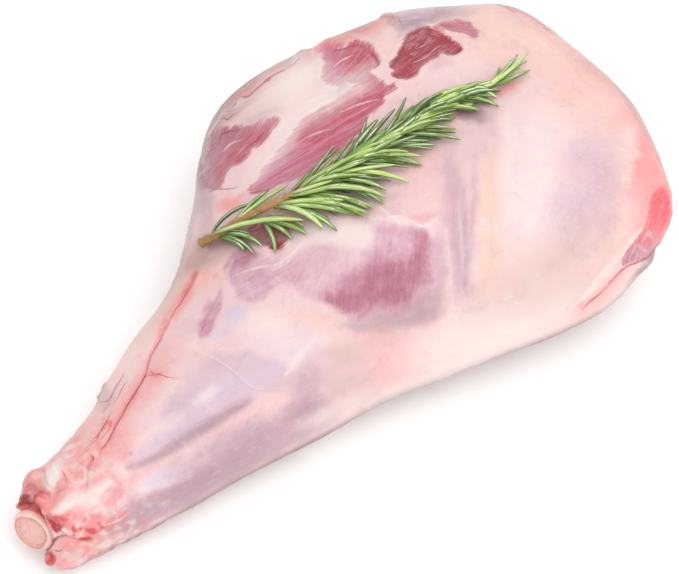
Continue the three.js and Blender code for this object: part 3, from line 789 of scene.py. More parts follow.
# Windows of bare muscle, from the rump to the heel, and the lean that shows at both far edges.
DARK_WINDOW = [
    (391, 65), (397, 57), (401, 49), (404, 42), (409, 35), (416, 31), (424, 29), (432, 30),
    (440, 33), (447, 38), (453, 43), (460, 48), (461, 52), (455, 55), (448, 54), (441, 52),
    (437, 56), (430, 59), (424, 63), (419, 68), (415, 75), (407, 79), (398, 78), (393, 75),
    (396, 71),
]
window(DARK_WINDOW, tone=1, turn=35, fray=0.12, sunk=1.2, lip=0.7, stray=0.25)
FAR_WINDOW = [
    (304, 50), (312, 44), (322, 44), (333, 48), (344, 46), (356, 43), (367, 45), (373, 50),
    (379, 60), (375, 66), (371, 70), (367, 77), (361, 82), (353, 83), (346, 82), (339, 87),
    (331, 84), (323, 79), (322, 70), (325, 62), (318, 55),
]
window(FAR_WINDOW, tone=0.6, turn=48, fray=0.8, sunk=0.9, lip=0.5, stray=0.3)
SMALL_WINDOW = [
    (436, 28), (444, 24), (456, 21), (466, 23), (472, 27), (477, 32), (473, 38), (466, 34),
    (457, 31), (446, 29),
]
window(SMALL_WINDOW, tone=0.6, turn=-12, fray=0.5, sunk=0.5, stray=0.4, dull=0.1)
LONG_WINDOW = [
    (250, 192), (256, 182), (265, 169), (275, 156), (284, 145), (293, 134), (303, 123), (313, 115),
    (326, 108), (338, 100), (349, 93), (358, 87), (364, 80), (371, 77), (379, 80), (386, 84),
    (395, 86), (391, 91), (383, 93), (383, 101), (376, 109), (368, 117), (362, 127), (355, 137),
    (346, 147), (334, 154), (322, 160), (314, 170), (302, 177), (290, 180), (276, 184), (264, 190),
]
window(LONG_WINDOW, tone=0.6, turn=31, fray=0.7, sunk=0.7, lip=0.4, stray=0.4)
FLANK_WINDOW = [
    (203, 186), (203, 175), (206, 163), (211, 152), (213, 143), (217, 135), (224, 130), (234, 128),
    (246, 127), (256, 125), (266, 120), (276, 118), (280, 122), (272, 129), (267, 136), (260, 143),
    (252, 148), (248, 156), (241, 163), (231, 167), (226, 176), (220, 187), (211, 190),
]
window(FLANK_WINDOW, tone=0.6, turn=48, fray=0.7, sunk=0.7, lip=0.4, stray=0.4, dull=0.3)
WINDOW_UNDER_SPRIG = [
    (249, 230), (260, 225), (275, 226), (288, 231), (284, 243), (278, 250), (270, 246), (258, 239),
]
window(WINDOW_UNDER_SPRIG, tone=0.98, turn=30, fray=0.3, sunk=0.6)
LEAN_ON_TOP_EDGE = [
    (496, 1), (512, 5), (527, 8), (538, 13), (546, 21), (556, 27), (562, 36), (552, 32), (540, 24),
    (527, 16), (512, 9),
]
window(LEAN_ON_TOP_EDGE, tone=0.88, turn=-30, fray=0.4, stray=0.2)
RUMP_END_WINDOW = [
    (654, 193), (665, 192), (667, 205), (664, 222), (660, 238), (655, 250), (646, 258), (634, 263),
    (623, 263), (627, 252), (634, 243), (640, 233), (646, 221), (650, 207),
]
window(RUMP_END_WINDOW, tone=0.55, turn=66, fray=0.4, sunk=0.9, lip=0.5, stray=0.5, flush=0.5)
PALE_STRIP = [(398, 12), (412, 9), (430, 8), (430, 14), (414, 18), (400, 22)]
window(PALE_STRIP, tone=0.2, turn=8, fray=1, mauve=0.7)

# Where the muscle is deeper or paler inside its windows.
patch((362, 96), (34, 14), 33, tone=0.25)
patch((352, 62), (24, 14), tone=0.25)
patch((330, 130), (44, 20), 33, tone=0.1)
patch((226, 140), (14, 12), 33, tone=0.2, dull=0.15)
patch((288, 165), (34, 18), 35, tone=-0.22, mauve=0.15)
patch((305, 150), (26, 10), 30, tone=0.12)
patch((258, 136), (14, 7), 40, tone=0.45, dull=-0.7)
patch((232, 154), (8, 6), 35, tone=0.4, dull=-0.6)
patch((240, 158), (5, 5), tone=0.4, dull=-0.6)
patch((334, 74), (16, 10), 30, tone=-0.4)
patch((312, 50), (10, 6), 40, tone=-0.3)
patch((360, 108), (20, 12), 33, tone=0.08)
patch((360, 56), (14, 10), tone=0.14)
patch((362, 74), (8, 4), tone=0.1, mauve=0.1)
patch((657, 204), (10, 16), -10, flush=1)
patch((648, 228), (10, 14), -20, flush=0.5)
patch((633, 257), (12, 8), 30, tone=-0.12, mauve=0.2, flush=-0.4)
stroke([(644, 240), (650, 232), (655, 238)], 1.6, white=0.4, stray=1)
stroke([(634, 256), (640, 246), (646, 250)], 1.6, white=0.4, stray=1)
patch((670, 208), (5, 18), flush=0.8, warm=0.4)
patch((664, 240), (6, 12), -25, white=0.2, flush=0.2)
# Painted shade where the rump's lower edge turns under.
patch((643, 278), (20, 14), 48, by=broad_rim, mauve=0.9, dull=0.5)
patch((669, 205), (8, 24), by=broad_rim, flush=0.8, warm=0.6)
patch((425, 60), (14, 6), 30, tone=-0.1)
patch((456, 28), (14, 5), -15, tone=0.25)

# Slits and cuts.
thread([(370, 51), (375, 56), (378, 62), (374, 66)], 1.0, red=0.5, rise=-0.8)
thread([(391, 66), (396, 59), (401, 51), (404, 44)], 1.5, red=0.3, rise=-0.6)
thread([(333, 51), (345, 48), (357, 45), (368, 48)], 0.5, red=0.6)
thread([(404, 42), (413, 33), (425, 29), (440, 33)], 0.8, red=0.5)
thread([(206, 186), (213, 189), (222, 189), (236, 187)], 0.5, red=0.7, rise=-0.6)
thread([(218, 145), (220, 137), (226, 132), (236, 130)], 0.5, red=0.4)
thread([(252, 194), (262, 191), (270, 189)], 1.0, red=0.35)
thread([(500, 2), (514, 8), (528, 12), (541, 22)], 1.4, red=0.35)
thread([(541, 22), (552, 28), (562, 38)], 1.1, red=0.1)
thread([(236, 96), (246, 85), (256, 79)], 1.2, red=0.2)
thread([(657, 246), (650, 256), (638, 263), (626, 268), (618, 276), (611, 283)], 0.7, red=0.8, rise=-1.0)
thread([(611, 284), (600, 294), (590, 302), (582, 311)], 0.7, red=0.7, rise=-0.6)
stroke([(628, 266), (618, 275), (606, 288), (592, 300), (582, 308)], 3, flush=0.7, stray=0.6)
patch((586, 303), (8, 5), 40, flush=0.6)
# A groove under the rump's lower lip, darkened with painted shade.
stroke([(657, 264), (647, 274), (636, 286), (626, 295)], 3.4, dull=0.75, mauve=0.5, rise=-1.0, stray=0.3)
thread([(672, 190), (676, 200), (676, 214)], 1.2, red=0.5)
stroke([(640, 228), (618, 256), (596, 284), (570, 308)], 3.2, rise=0.7, white=0.4, flush=-0.3)
stroke([(626, 236), (612, 252), (600, 270)], 3, rise=0.4, flush=0.2)
stroke([(668, 200), (668, 225), (660, 250), (640, 272)], 4, rise=0.7)
stroke([(640, 278), (622, 292), (600, 308)], 5, white=0.3, warm=0.3)
patch((386, 18), (5, 6), rise=1.5, warm=0.4)
patch((392, 22), (5, 4), rise=-1.2, dull=0.2)

# White strands of membrane and tendon.
thread([(232, 278), (244, 272), (258, 268), (276, 264), (292, 253), (304, 241)], 0.8, line="strand",
    rise=0.3)
thread([(268, 273), (278, 268), (292, 259)], 0.6, line="strand")
thread([(270, 274), (276, 277), (282, 282)], 0.6, line="strand")
stroke([(268, 270), (278, 264), (292, 254), (300, 245)], 3, white=0.3, cool=0.2, patchy=0.4)
stroke([(230, 282), (229, 272), (234, 260)], 1.6, white=0.4)
thread([(165, 346), (190, 350), (212, 358), (232, 370), (250, 386), (268, 390)], 0.5, line="strand",
    rise=0.3)
thread([(366, 216), (380, 219), (398, 216), (412, 222), (424, 228), (434, 220)], 1.0, line="strand",
    rise=0.2)
thread([(362, 222), (370, 240), (372, 252)], 0.8, line="strand")
thread([(340, 112), (352, 106), (364, 102), (378, 98)], 0.9, line="strand")
thread([(300, 140), (316, 132), (330, 128)], 0.6, line="strand")
thread([(332, 66), (342, 58), (352, 54)], 0.8, line="strand")
thread([(412, 60), (424, 56), (436, 46), (444, 44)], 0.6, line="strand")
thread([(418, 46), (426, 42), (432, 36)], 0.6, line="strand")
thread([(222, 150), (230, 143), (240, 140)], 0.8, line="strand")
thread([(610, 262), (598, 276), (586, 292), (574, 304)], 1.2, line="strand", rise=0.3)

# The outline: the far edge is rimmed with darker lean and flushed skin under painted shade, and the near
# edge gets a dark line of painted shade where the meat turns under.
patch((250, 90), (80, 90), by=broad_rim, rise=1.1)
patch((345, 35), (60, 30), by=broad_rim, rise=1.6)
patch((600, 70), (60, 70), by=broad_rim, rise=0.6)
# Painted shade in the last pixels before the outline, over the far edge and round the end of the rump.
patch((240, 100), (80, 100), by=thin_rim, dull=0.75, blood=0.12)
patch((340, 35), (70, 30), by=thin_rim, dull=0.6, flush=0.4)
patch((620, 110), (80, 110), by=thin_rim, dull=0.45, flush=0.4)
patch((660, 250), (30, 50), by=thin_rim, dull=0.8)
patch((205, 160), (34, 70), by=broad_rim, mauve=0.6, dull=0.2)
patch((225, 110), (34, 44), 45, by=broad_rim, mauve=0.4, dull=0.12, flush=0.3)
patch((250, 82), (30, 20), 40, by=broad_rim, flush=0.8, dull=0.1, blood=0.2)
patch((290, 55), (50, 24), 35, by=broad_rim, mauve=0.3, dull=0.1, flush=0.5)
# Painted highlight.
patch((300, 82), (30, 12), 35, white=0.5)
patch((350, 30), (50, 22), 22, by=broad_rim, flush=0.8, warm=0.4, dull=0.2, blood=0.15)
patch((415, 10), (34, 14), 5, by=broad_rim, mauve=0.5, dull=0.15)
patch((455, 8), (34, 12), 5, by=broad_rim, dull=0.25, warm=0.4)
patch((530, 12), (44, 20), -25, by=broad_rim, flush=0.5, dull=0.2, blood=0.2)
patch((585, 50), (30, 44), 40, by=broad_rim, flush=0.3, dull=0.1)
patch((628, 100), (30, 50), 35, by=broad_rim, flush=0.45, dull=0.05)
patch((660, 160), (24, 50), 15, by=broad_rim, flush=0.6)
patch((652, 165), (14, 34), 15, flush=0.6)
patch((672, 215), (20, 40), by=broad_rim, flush=0.8, blood=0.12)
patch((655, 270), (24, 30), -30, by=broad_rim, mauve=0.4, dull=0.3)
# Painted shade along the far outline of the shank.
patch((185, 240), (20, 40), by=thin_rim, dull=0.3, mauve=0.2)
patch((165, 290), (20, 50), -40, by=thin_rim, dull=0.3, warm=0.3)
patch((110, 370), (24, 60), -40, by=thin_rim, dull=0.3, warm=0.4)
patch((60, 440), (30, 40), -40, by=thin_rim, dull=0.15, flush=0.3)
# Painted shade: a dark line along the near outline, where the meat turns under towards the floor.
patch((450, 400), (300, 60), 26, by=thin_rim, dull=0.9)
patch((220, 500), (200, 60), 28, by=thin_rim, dull=0.85)

# What the camera doesn't see carries the same sort of marks, strewn by noise: lean in a few windows,
# mauve muscle under the membrane, warm and flushed fat. Down-facing rims near the floor get painted shade.
behind = 1 - facing
strewn = {name: ripple(size, seed, (1.8, 1, 1)) for name, size, seed in (
    ("tone", 0.03, 20), ("veil", 0.045, 21), ("mauve", 0.03, 22), ("cool", 0.035, 23), ("warm", 0.05, 24),
    ("flush", 0.03, 25), ("white", 0.026, 26), ("dull", 0.04, 27),
)}
for name, level, strength in (
    ("veil", 0.45, 0.8), ("mauve", 0.1, 0.5), ("cool", 0.2, 0.5), ("warm", -0.3, 0.7),
    ("flush", 0.0, 0.5), ("white", 0.25, 0.5), ("dull", 0.35, 0.3),
):
    everywhere(name, strength * behind * soft_step(level, level + 0.5, strewn[name]))
hidden_side = behind > 0.5
marks["tone"][hidden_side] = (0.4 + 0.3 * strewn["tone"])[hidden_side]
bare = (ripple(0.035, 28, (1.8, 1, 1)) - 0.62) * 60
edge = np.where(hidden_side, np.clip(bare, -EDGE_REACH, EDGE_REACH), edge)
marks["fray"][hidden_side] = 0.6
down_facing_shade = soft_step(-0.3, -0.62, normals[:, 2]) * soft_step(0.0005, 0.004, points[:, 2])
everywhere("dull", 0.8 * down_facing_shade)

# The torn shank end is blotched with red and white, finely so beside the stumps round the bone.
TORN_FROM, TORN_BY = -0.12, -0.16
STUMPS_END = (56, 66)  # pixels across
torn = soft_step(TORN_FROM, TORN_BY, points[:, 0])
raw = torn * facing * (1 - 0.8 * marks["white"])
blotchy = ripple(0.006, 31)
everywhere("flush", 0.6 * raw * soft_step(0.05, 0.5, blotchy))
everywhere("white", 0.45 * raw * soft_step(0.2, 0.7, -blotchy))
everywhere("blood", 0.3 * raw * soft_step(0.3, 0.8, ripple(0.004, 32)))
scattered = raw * soft_step(0.25, -0.25, ripple(0.0032, 33)) * soft_step(*STUMPS_END, places[:, 0])
marks["blood"] *= 1 - 0.7 * scattered
everywhere("white", 0.35 * scattered * soft_step(0.1, 0.5, ripple(0.003, 34)))

lift += 0.35 * ripple(0.02, 5) + 0.12 * ripple(0.006, 6)
lift += torn * (0.6 * ripple(0.007, 7) + 0.3 * ripple(0.003, 8))
points += normals * lift[:, None] * MILLIMETRE
points[:, 2] = np.maximum(points[:, 2], 0)
normals = surface_normals()

# Painted shadow: a thin dark line where the meat meets the floor, drawn as one of the slit lines in their
# brown.
FLOOR_LINE_HEIGHT = 0.5
FLOOR_LINE_WIDTH = 0.7
FLOOR_LINE_REACH = 3.5
above_line = points[:, 2] / MILLIMETRE - FLOOR_LINE_HEIGHT
by_floor = (above_line < FLOOR_LINE_REACH) & (facing > 0.3)
lines["cut"] = np.where(by_floor, above_line / FLOOR_LINE_WIDTH, lines["cut"])
lines["cut_gap"] = np.where(by_floor, abs(above_line), lines["cut_gap"])
marks["cut_red"] = np.where(by_floor, 0.1, marks["cut_red"])

for name, values in {**marks, **lines, "edge": edge}.items():
    leg_mesh.attributes.new(name, "FLOAT", "POINT").data.foreach_set("value", values.astype(np.float32))
grain_values = leg_mesh.attributes.new("grain", "FLOAT_VECTOR", "POINT").data
grain_values.foreach_set("vector", grain.astype(np.float32).ravel())


class Wire:
    """One output of a shader node. Sums and products of wires become Math nodes."""

    def __init__(self, socket):
        self.socket = socket

    def feed(self, sockets):
        """Sets or links the inputs of the wire's own node."""
        node = self.socket.node
        for place, value in sockets.items():
            if isinstance(value, Wire):
                node.id_data.links.new(value.socket, node.inputs[place])
            else:
                node.inputs[place].default_value = value
        return self

    def node(self, kind, settings=None, sockets=None, output=0):
        """A new node beside this one, with its settings made first and then its inputs."""
        node = self.socket.id_data.nodes.new("ShaderNode" + kind)
        for name, value in (settings or {}).items():
            if name != "stops":
                setattr(node, name, value)
                continue
            stops = node.color_ramp.elements
            while len(stops) < len(value):
                stops.new(0)
            for stop, (position, color) in zip(stops, value):
                stop.position = position
                stop.color = color
        return Wire(node.outputs[output]).feed(sockets or {})

    def sum(self, operation, *values):
        return self.node("Math", {"operation": operation}, dict(enumerate(values)))

    def __add__(self, other):
        return self.sum("ADD", self, other)

    def __sub__(self, other):
        return self.sum("SUBTRACT", self, other)

    def __rsub__(self, other):
        return self.sum("SUBTRACT", other, self)

    def __mul__(self, other):
        return self.sum("MULTIPLY", self, other)

    __radd__ = __add__
    __rmul__ = __mul__

    def step(self, low, high, to_low=0, to_high=1):
        """A soft step from one value to another as the wire goes from low to high."""
        settings = {"interpolation_type": "SMOOTHSTEP"}
        return self.node("MapRange", settings, {0: self, 1: low, 2: high, 3: to_low, 4: to_high})

    def tint(self, below, above):
        """The colour below, going over to the colour above as the wire goes from 0 to 1."""
        return self.node("Mix", {"data_type": "RGBA"}, {0: self, 6: below, 7: above}, 2)

    def clouds(self, place, scale, detail, roughness, distortion=0):
        """Noise from 0 to 1 at a place, with finer detail on top."""
        sockets = {"Vector": place, "Scale": scale, "Detail": detail, "Roughness": roughness}
        return self.node("TexNoise", sockets={**sockets, "Distortion": distortion})

    def bump(self, height, strength, distance):
        return self.node("Bump", sockets={"Height": height, "Strength": strength, "Distance": distance})

    def mark(self, name, output="Fac"):
        return self.node("Attribute", {"attribute_name": name}, output=output)

    def line(self, name, wander, swell):
        """A thin line from its two marks: it wanders a little, and swells and thins out along its way."""
        off = self.sum("ABSOLUTE", self.mark(name) + wander * 2)
        return (off + swell * 3).step(1.5, 0.4) * self.mark(name + "_gap").step(3.6, 2.2)


def new_finish(name):
    material = bpy.data.materials.new(name)
    material.use_nodes = True
    return material, Wire(material.node_tree.nodes["Principled BSDF"].outputs[0])


BRIGHTNESS = 1.15  # how much brighter the picture shows a colour than it is, for its strong light


def paint(red, green, blue):
    """A colour as the picture shows it, 0 to 255, turned into the shader's own numbers."""
    shares = [part / 255 for part in (red, green, blue)]
    linear = [part / 12.92 if part <= 0.04045 else ((part + 0.055) / 1.055) ** 2.4 for part in shares]
    return (*(part / BRIGHTNESS for part in linear), 1)


PINK_FAT = paint(246, 211, 211)
PEACH_FAT = paint(250, 208, 192)
# White for gristle, strands and fibres, and for painted highlights.
WHITE_GRISTLE_AND_HIGHLIGHT = paint(252, 240, 234)
# Lilac for the silvery membrane, and for painted sheen on it.
LILAC_MEMBRANE_AND_SHEEN = paint(220, 204, 226)
# Mauve for muscle seen through the membrane, and for painted shade under the sprig and along the far edge.
MAUVE_MEMBRANE_AND_SHADE = paint(188, 150, 168)
# Grey-brown for duller places and for painted shade: under the sprig, along the outline and on down-facing
# rims.
DULL_AND_SHADE_FAT = paint(150, 116, 108)
FLUSHED_FAT = paint(248, 136, 134)
BLOOD = paint(190, 30, 44)
BRIGHT_BLOOD = paint(238, 84, 88)
DARK_BLOOD = paint(140, 26, 40)
ROSY_FAT = paint(242, 190, 192)
PALE_FAT = paint(252, 232, 230)
SLIT_AND_SHADOW_BROWN = paint(112, 44, 48)
SLIT_RED = paint(196, 52, 66)
VEILED_STOPS = [
    (0.0, paint(234, 204, 214)),
    (0.35, paint(216, 162, 180)),
    (0.65, paint(190, 118, 140)),
    (1.0, paint(168, 84, 106)),
]
MUSCLE_STOPS = [
    (0.0, paint(232, 196, 208)),
    (0.3, paint(218, 158, 176)),
    (0.55, paint(208, 115, 138)),
    (0.78, paint(202, 78, 98)),
    (1.0, paint(166, 40, 58)),
]

meat, surface = new_finish("lamb_meat")
place = surface.node("TexCoord", output="Object")
fibres = surface.mark("grain", "Vector")


def along_fibres(*shares):
    """The place along and across the fibres, each drawn out by its share."""
    return surface.node("VectorMath", {"operation": "MULTIPLY"}, {0: fibres, 1: shares})


mottle = surface.clouds(place, 50, 4, 0.6) - 0.5
speckle = surface.clouds(place, 300, 3, 0.6) - 0.5
pits = surface.clouds(place, 1100, 2, 0.5) - 0.5
streak = surface.clouds(along_fibres(0.035, 0.5, 0), 1, 5, 0.6, 0.5) - 0.5
fine_streak = surface.clouds(along_fibres(0.1, 1.5, 3), 1, 4, 0.6, 0.4) - 0.5
wisps = surface.clouds(along_fibres(0.045, 0.3, 7), 1, 3, 0.55, 0.6) - 0.5
cloud = surface.clouds(place, 26, 6, 0.65) - 0.5
blotches = surface.clouds(place, 95, 5, 0.62, 1.2) - 0.5
wisps = surface.sum("ABSOLUTE", wisps).step(0.045, 0.008) * (mottle + speckle).step(-0.12, 0.2)

# Fat and membrane: warm, mauve, lilac, dull and flushed areas over a pink ground, each with a mottled edge;
# the lilac also lays painted sheen, and the mauve and dull lay painted shade.
# Cloudy white and rose patches and faint fibres break up the even parts.
fat = (surface.mark("warm") + mottle * 0.6).step(-0.1, 1.1).tint(PINK_FAT, PEACH_FAT)
fat = (cloud.step(-0.1, 0.3) * 0.4).tint(fat, ROSY_FAT)
fat = (mottle + speckle * 0.5).step(0.04, 0.4).tint(fat, PALE_FAT)
fat = ((surface.mark("cool") + mottle * 0.5).step(0, 1.1) * 0.85).tint(fat, LILAC_MEMBRANE_AND_SHEEN)
fat = (surface.mark("mauve") + mottle * 0.35 + fine_streak * 0.3).step(0.02, 1.15).tint(fat, MAUVE_MEMBRANE_AND_SHADE)
blush = surface.mark("flush") + mottle * 0.4 + speckle * 0.3
fat = (blush.step(0, 1.1) * 0.9).tint(fat, FLUSHED_FAT)
fat = ((fine_streak + streak * 0.4 + speckle * 0.4).step(0.05, 0.42) * 0.3).tint(fat, WHITE_GRISTLE_AND_HIGHLIGHT)
fat = (wisps * 0.12).tint(fat, WHITE_GRISTLE_AND_HIGHLIGHT)
fat = (blotches.step(0.02, 0.3) * 0.3).tint(fat, MAUVE_MEMBRANE_AND_SHADE)
fat = (blotches.step(0, -0.35) * 0.35).tint(fat, PALE_FAT)
depth = surface.mark("tone") + streak * 0.4 + fine_streak * 0.5 + mottle * 0.4
deep = surface.mark("tone") + streak * 0.35 + fine_streak * 0.25 + mottle * 0.4
deep = deep + blotches * 0.5 + speckle * 0.3
veiled = surface.node("ValToRGB", {"stops": VEILED_STOPS}, {0: deep})
uneven = streak * 0.25 + mottle * 0.7 + speckle * 0.2
veiling = surface.mark("veil") + uneven * surface.mark("veil").step(0, 0.3)
skin = veiling.step(-0.05, 1.05).tint(fat, (wisps * 0.16).tint(veiled, PALE_FAT))
skin = (surface.mark("dull") + speckle * 0.3 * surface.mark("dull")).tint(skin, DULL_AND_SHADE_FAT)

# Bare muscle: fibres that fray out along the grain at the edge, and pale membrane caught between them.
fray = surface.mark("fray")
muscle = surface.node("ValToRGB", {"stops": MUSCLE_STOPS}, {0: depth + streak * 0.9 + speckle * 0.3})
muscle = (surface.mark("dull") * 0.8).tint(muscle, DULL_AND_SHADE_FAT)
muscle = (surface.mark("mauve") * 0.7).tint(muscle, MAUVE_MEMBRANE_AND_SHADE)
muscle = (surface.mark("flush").step(0.35, 1) * 0.85).tint(muscle, paint(248, 100, 108))
ragged = surface.mark("edge") + 1.5 + streak * 16 * fray + fine_streak * (8 * fray + 4) + speckle * 6
shown = ragged.step(-1.8, 1.8)
skin = shown.tint(skin, muscle)
caught = (fine_streak + streak * 0.7).step(0.06, 0.24) * ragged.step(16, -2) * shown * fray
skin = (caught * 0.7).tint(skin, PALE_FAT)
specks = (speckle + fine_streak * 0.6).step(0.16, 0.26) * 0.25 + wisps * 0.2
skin = (specks * shown).tint(skin, PALE_FAT)

# White gristle and painted highlights, and strands, then blood, and slits together with the painted shadow
# line along the floor.
skin = ((surface.mark("white") + mottle * 0.5 * surface.mark("white")) * 0.9).tint(skin, WHITE_GRISTLE_AND_HIGHLIGHT)
stranded = surface.line("strand", speckle, mottle)
skin = (stranded * 0.45).tint(skin, WHITE_GRISTLE_AND_HIGHLIGHT)
bleeding = (surface.mark("blood") + speckle * 0.7 + mottle * 0.4 + pits * 0.3).step(0.12, 0.95)
flesh = (pits * 2 + mottle * 3 + speckle * 2).step(-0.5, 0.9).tint(BLOOD, BRIGHT_BLOOD)
flesh = (surface.mark("dull") * 2 + speckle).step(0.1, 0.9).tint(flesh, DARK_BLOOD)
skin = bleeding.tint(skin, flesh)
# The slit lines also draw the painted shadow line where the meat meets the floor.
slit = surface.line("cut", speckle, mottle)
skin = (slit * 0.65).tint(skin, surface.mark("cut_red").tint(SLIT_AND_SHADOW_BROWN, SLIT_RED))

bumps = mottle * 0.5 + speckle * 0.14 + pits * 0.03 + (fine_streak * 0.5 + streak * 0.4) * shown
bumps = bumps + stranded * 0.16 - slit * 0.5 + fine_streak * 0.16
surface.feed({
    "Base Color": skin,
    "Roughness": 0.44 - shown * 0.1 + speckle * 0.2,
    "Normal": surface.bump(bumps, 0.5, 0.0012),
    "Subsurface Weight": 0.2,
    "Subsurface Radius": (1.0, 0.35, 0.2),
    "Subsurface Scale": 0.003,
    "Specular IOR Level": 0.5,
    "Coat Weight": 0.3,
    "Coat Roughness": 0.2,
})
leg_mesh.materials.append(meat)
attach(leg, "root")
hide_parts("leg")

# Bone: the lower end of the shin bone, sawn across, with a porous middle, a groove and a raised pale rim.
# It is one tapered body of rings that runs on into the shank, as the plain solid does.
BONE_FACE = np.array((-186, 10, 18)) * MILLIMETRE
BONE_INNER_END = np.array((-36, 8, 36)) * MILLIMETRE
BONE_FACE_NORMAL = np.array((-0.9, -0.25, 0.36))
BONE_PROFILE = [  # millimetres in from the sawn face, and the radius there
    (0.8, 0.2), (0.6, 2.6), (0.4, 4.4), (0.3, 6.0), (0.5, 6.6), (0.7, 7.1), (0.3, 7.8), (0.0, 8.6),
    (0.2, 9.8), (1.0, 10.6), (2.4, 10.6), (6, 9.6), (22, 8.4), (60, 7.8), (112, 9), (138, 12),
    (147, 12.2), (150, 10), (150.6, 0.5),
]
BONE_SIDES = 96
BONE_STRAIGHT_BY = 40  # from here inwards the rings stand square to the shaft
BONE_EDGE = 11.5  # the reach that stands for all of the bone's outside


def tube_faces(rings, sides, first_point=0):
    """The faces of a row of rings, with both ends closed by one face."""
    faces = []
    for ring in range(rings - 1):
        for side in range(sides):
            a = first_point + ring * sides + side
            b = first_point + ring * sides + (side + 1) % sides
            faces.append((a, b, b + sides, a + sides))
    last = first_point + (rings - 1) * sides
    faces.append(tuple(range(first_point, first_point + sides))[::-1])
    faces.append(tuple(range(last, last + sides)))
    return faces


shaft = BONE_INNER_END - BONE_FACE
shaft /= np.linalg.norm(shaft)
bone_rings = open_curve(BONE_PROFILE, 4)
bone_points = []
bone_reach = []
bone_highlight_side = []  # 1 at the upper right of the sawn face, where a painted highlight makes the rim pale, -1 across from it
for inward, radius in bone_rings:
    turning = float(soft_step(2, BONE_STRAIGHT_BY, inward))
    axis = Vector((1 - turning) * -BONE_FACE_NORMAL / np.linalg.norm(BONE_FACE_NORMAL) + turning * shaft)
    turned = Vector((1, 0, 0)).rotation_difference(axis)
    middle = Vector(BONE_FACE + shaft * inward * MILLIMETRE)
    for side in range(BONE_SIDES):
        angle = 2 * math.pi * side / BONE_SIDES
        spoke = Vector((0, math.cos(angle), math.sin(angle))) * radius * MILLIMETRE
        spot = middle + turned @ spoke
        rough = noise.noise(spot * 260) * 0.22 + noise.noise(spot * 800) * 0.12
        bone_points.append(spot + axis * rough * MILLIMETRE)
        bone_reach.append(radius if inward < 1.5 else BONE_EDGE)
        bone_highlight_side.append((turned @ spoke).normalized().dot(Vector(to_right * 0.85 + to_top * 0.5)))
bone_mesh = bpy.data.meshes.new("sawn_bone")
bone_mesh.from_pydata(bone_points, [], tube_faces(len(bone_rings), BONE_SIDES))
bone_mesh.shade_smooth()
bone = bpy.data.objects.new("sawn_bone", bone_mesh)
bpy.context.scene.collection.objects.link(bone)
bone_mesh.attributes.new("reach", "FLOAT", "POINT").data.foreach_set("value", bone_reach)
bone_mesh.attributes.new("side", "FLOAT", "POINT").data.foreach_set("value", bone_highlight_side)

BONE_STOPS = [  # from the middle of the sawn face to its edge, and then the flesh that clings outside
    (0.0, paint(252, 204, 196)),
    (0.46, paint(248, 192, 184)),
    (0.57, paint(244, 182, 170)),
    (0.62, paint(224, 146, 130)),
    (0.68, paint(250, 204, 192)),
    (0.8, paint(255, 224, 214)),
    (0.89, paint(248, 190, 178)),
    (1.0, paint(216, 84, 84)),
]
bone_finish, surface = new_finish("sawn_bone")
place = surface.node("TexCoord", output="Object")
pores = surface.node("TexVoronoi", sockets={"Vector": place, "Scale": 900})
cloud = surface.clouds(place, 170, 5, 0.65)
reach = surface.mark("reach") * (1 / BONE_EDGE) + (cloud - 0.5) * 0.2
# Painted highlight: the pale rim shows only on the upper right of the sawn face, and across from it the
# face's darker colours reach out to its edge.
reach = reach - surface.mark("side").step(0.5, -0.6) * surface.mark("reach").step(11, 9) * 0.16
bone_skin = surface.node("ValToRGB", {"stops": BONE_STOPS}, {0: reach})
spongy = reach.step(0.7, 0.55) * pores.step(0.42, 0.1)
bone_skin = (spongy * 0.4).tint(bone_skin, paint(186, 92, 88))
bone_skin = (cloud.step(0.55, 0.75) * 0.35).tint(bone_skin, paint(214, 178, 146))
bone_bumps = cloud * 0.6 - spongy * 0.5
surface.feed({
    "Base Color": bone_skin,
    "Roughness": 0.5 - cloud * 0.15,
    "Normal": surface.bump(bone_bumps, 0.5, 0.0006),
    "Subsurface Weight": 0.15,
    "Subsurface Radius": (1.0, 0.4, 0.25),
    "Subsurface Scale": 0.003,
    "Coat Weight": 0.2,
    "Coat Roughness": 0.3,
})
bone_mesh.materials.append(bone_finish)
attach(bone, "root")
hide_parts("shank_bone")

# Rosemary stem: a thin woody twig with a cut end, laid along the leg on its own leaves.
# It is a tube that swells a little where the leaves sit.
STEM_LINE = [  # pixels of the photograph, and the height of the stem's middle above the meat in millimetres
    (201, 243, 3.2), (214, 236, 3.6), (228, 228, 3.8), (252, 214, 4.2), (276, 203, 4.8),
    (300, 191, 5.4), (325, 177, 5.8), (350, 163, 6), (377, 146, 6), (400, 129, 6),
    (425, 112, 5.8), (448, 100, 5.4), (468, 92, 5), (486, 87, 4.6), (500, 76, 4.2), (511, 67, 4),
]
STEM_SIDES = 14
STEM_STEPS = 8
STEM_RADIUS = (2.1, 0.7)
LEAF_NODES = 26  # places along the stem where leaves sit

leg_faces = [tuple(face.vertices) for face in leg_mesh.polygons]
leg_shape = BVHTree.FromPolygons([Vector(p) for p in points], leg_faces)


def over_meat(pixel, height):
    """The place the camera sees at a pixel, some millimetres above the meat, and the way up from it."""
    direction = sight_line(pixel)
    hit, out, _, _ = leg_shape.ray_cast(Vector(eye), direction)
    towards = max(-out.dot(direction), 0.5)
    return hit - direction * height * MILLIMETRE / towards, out


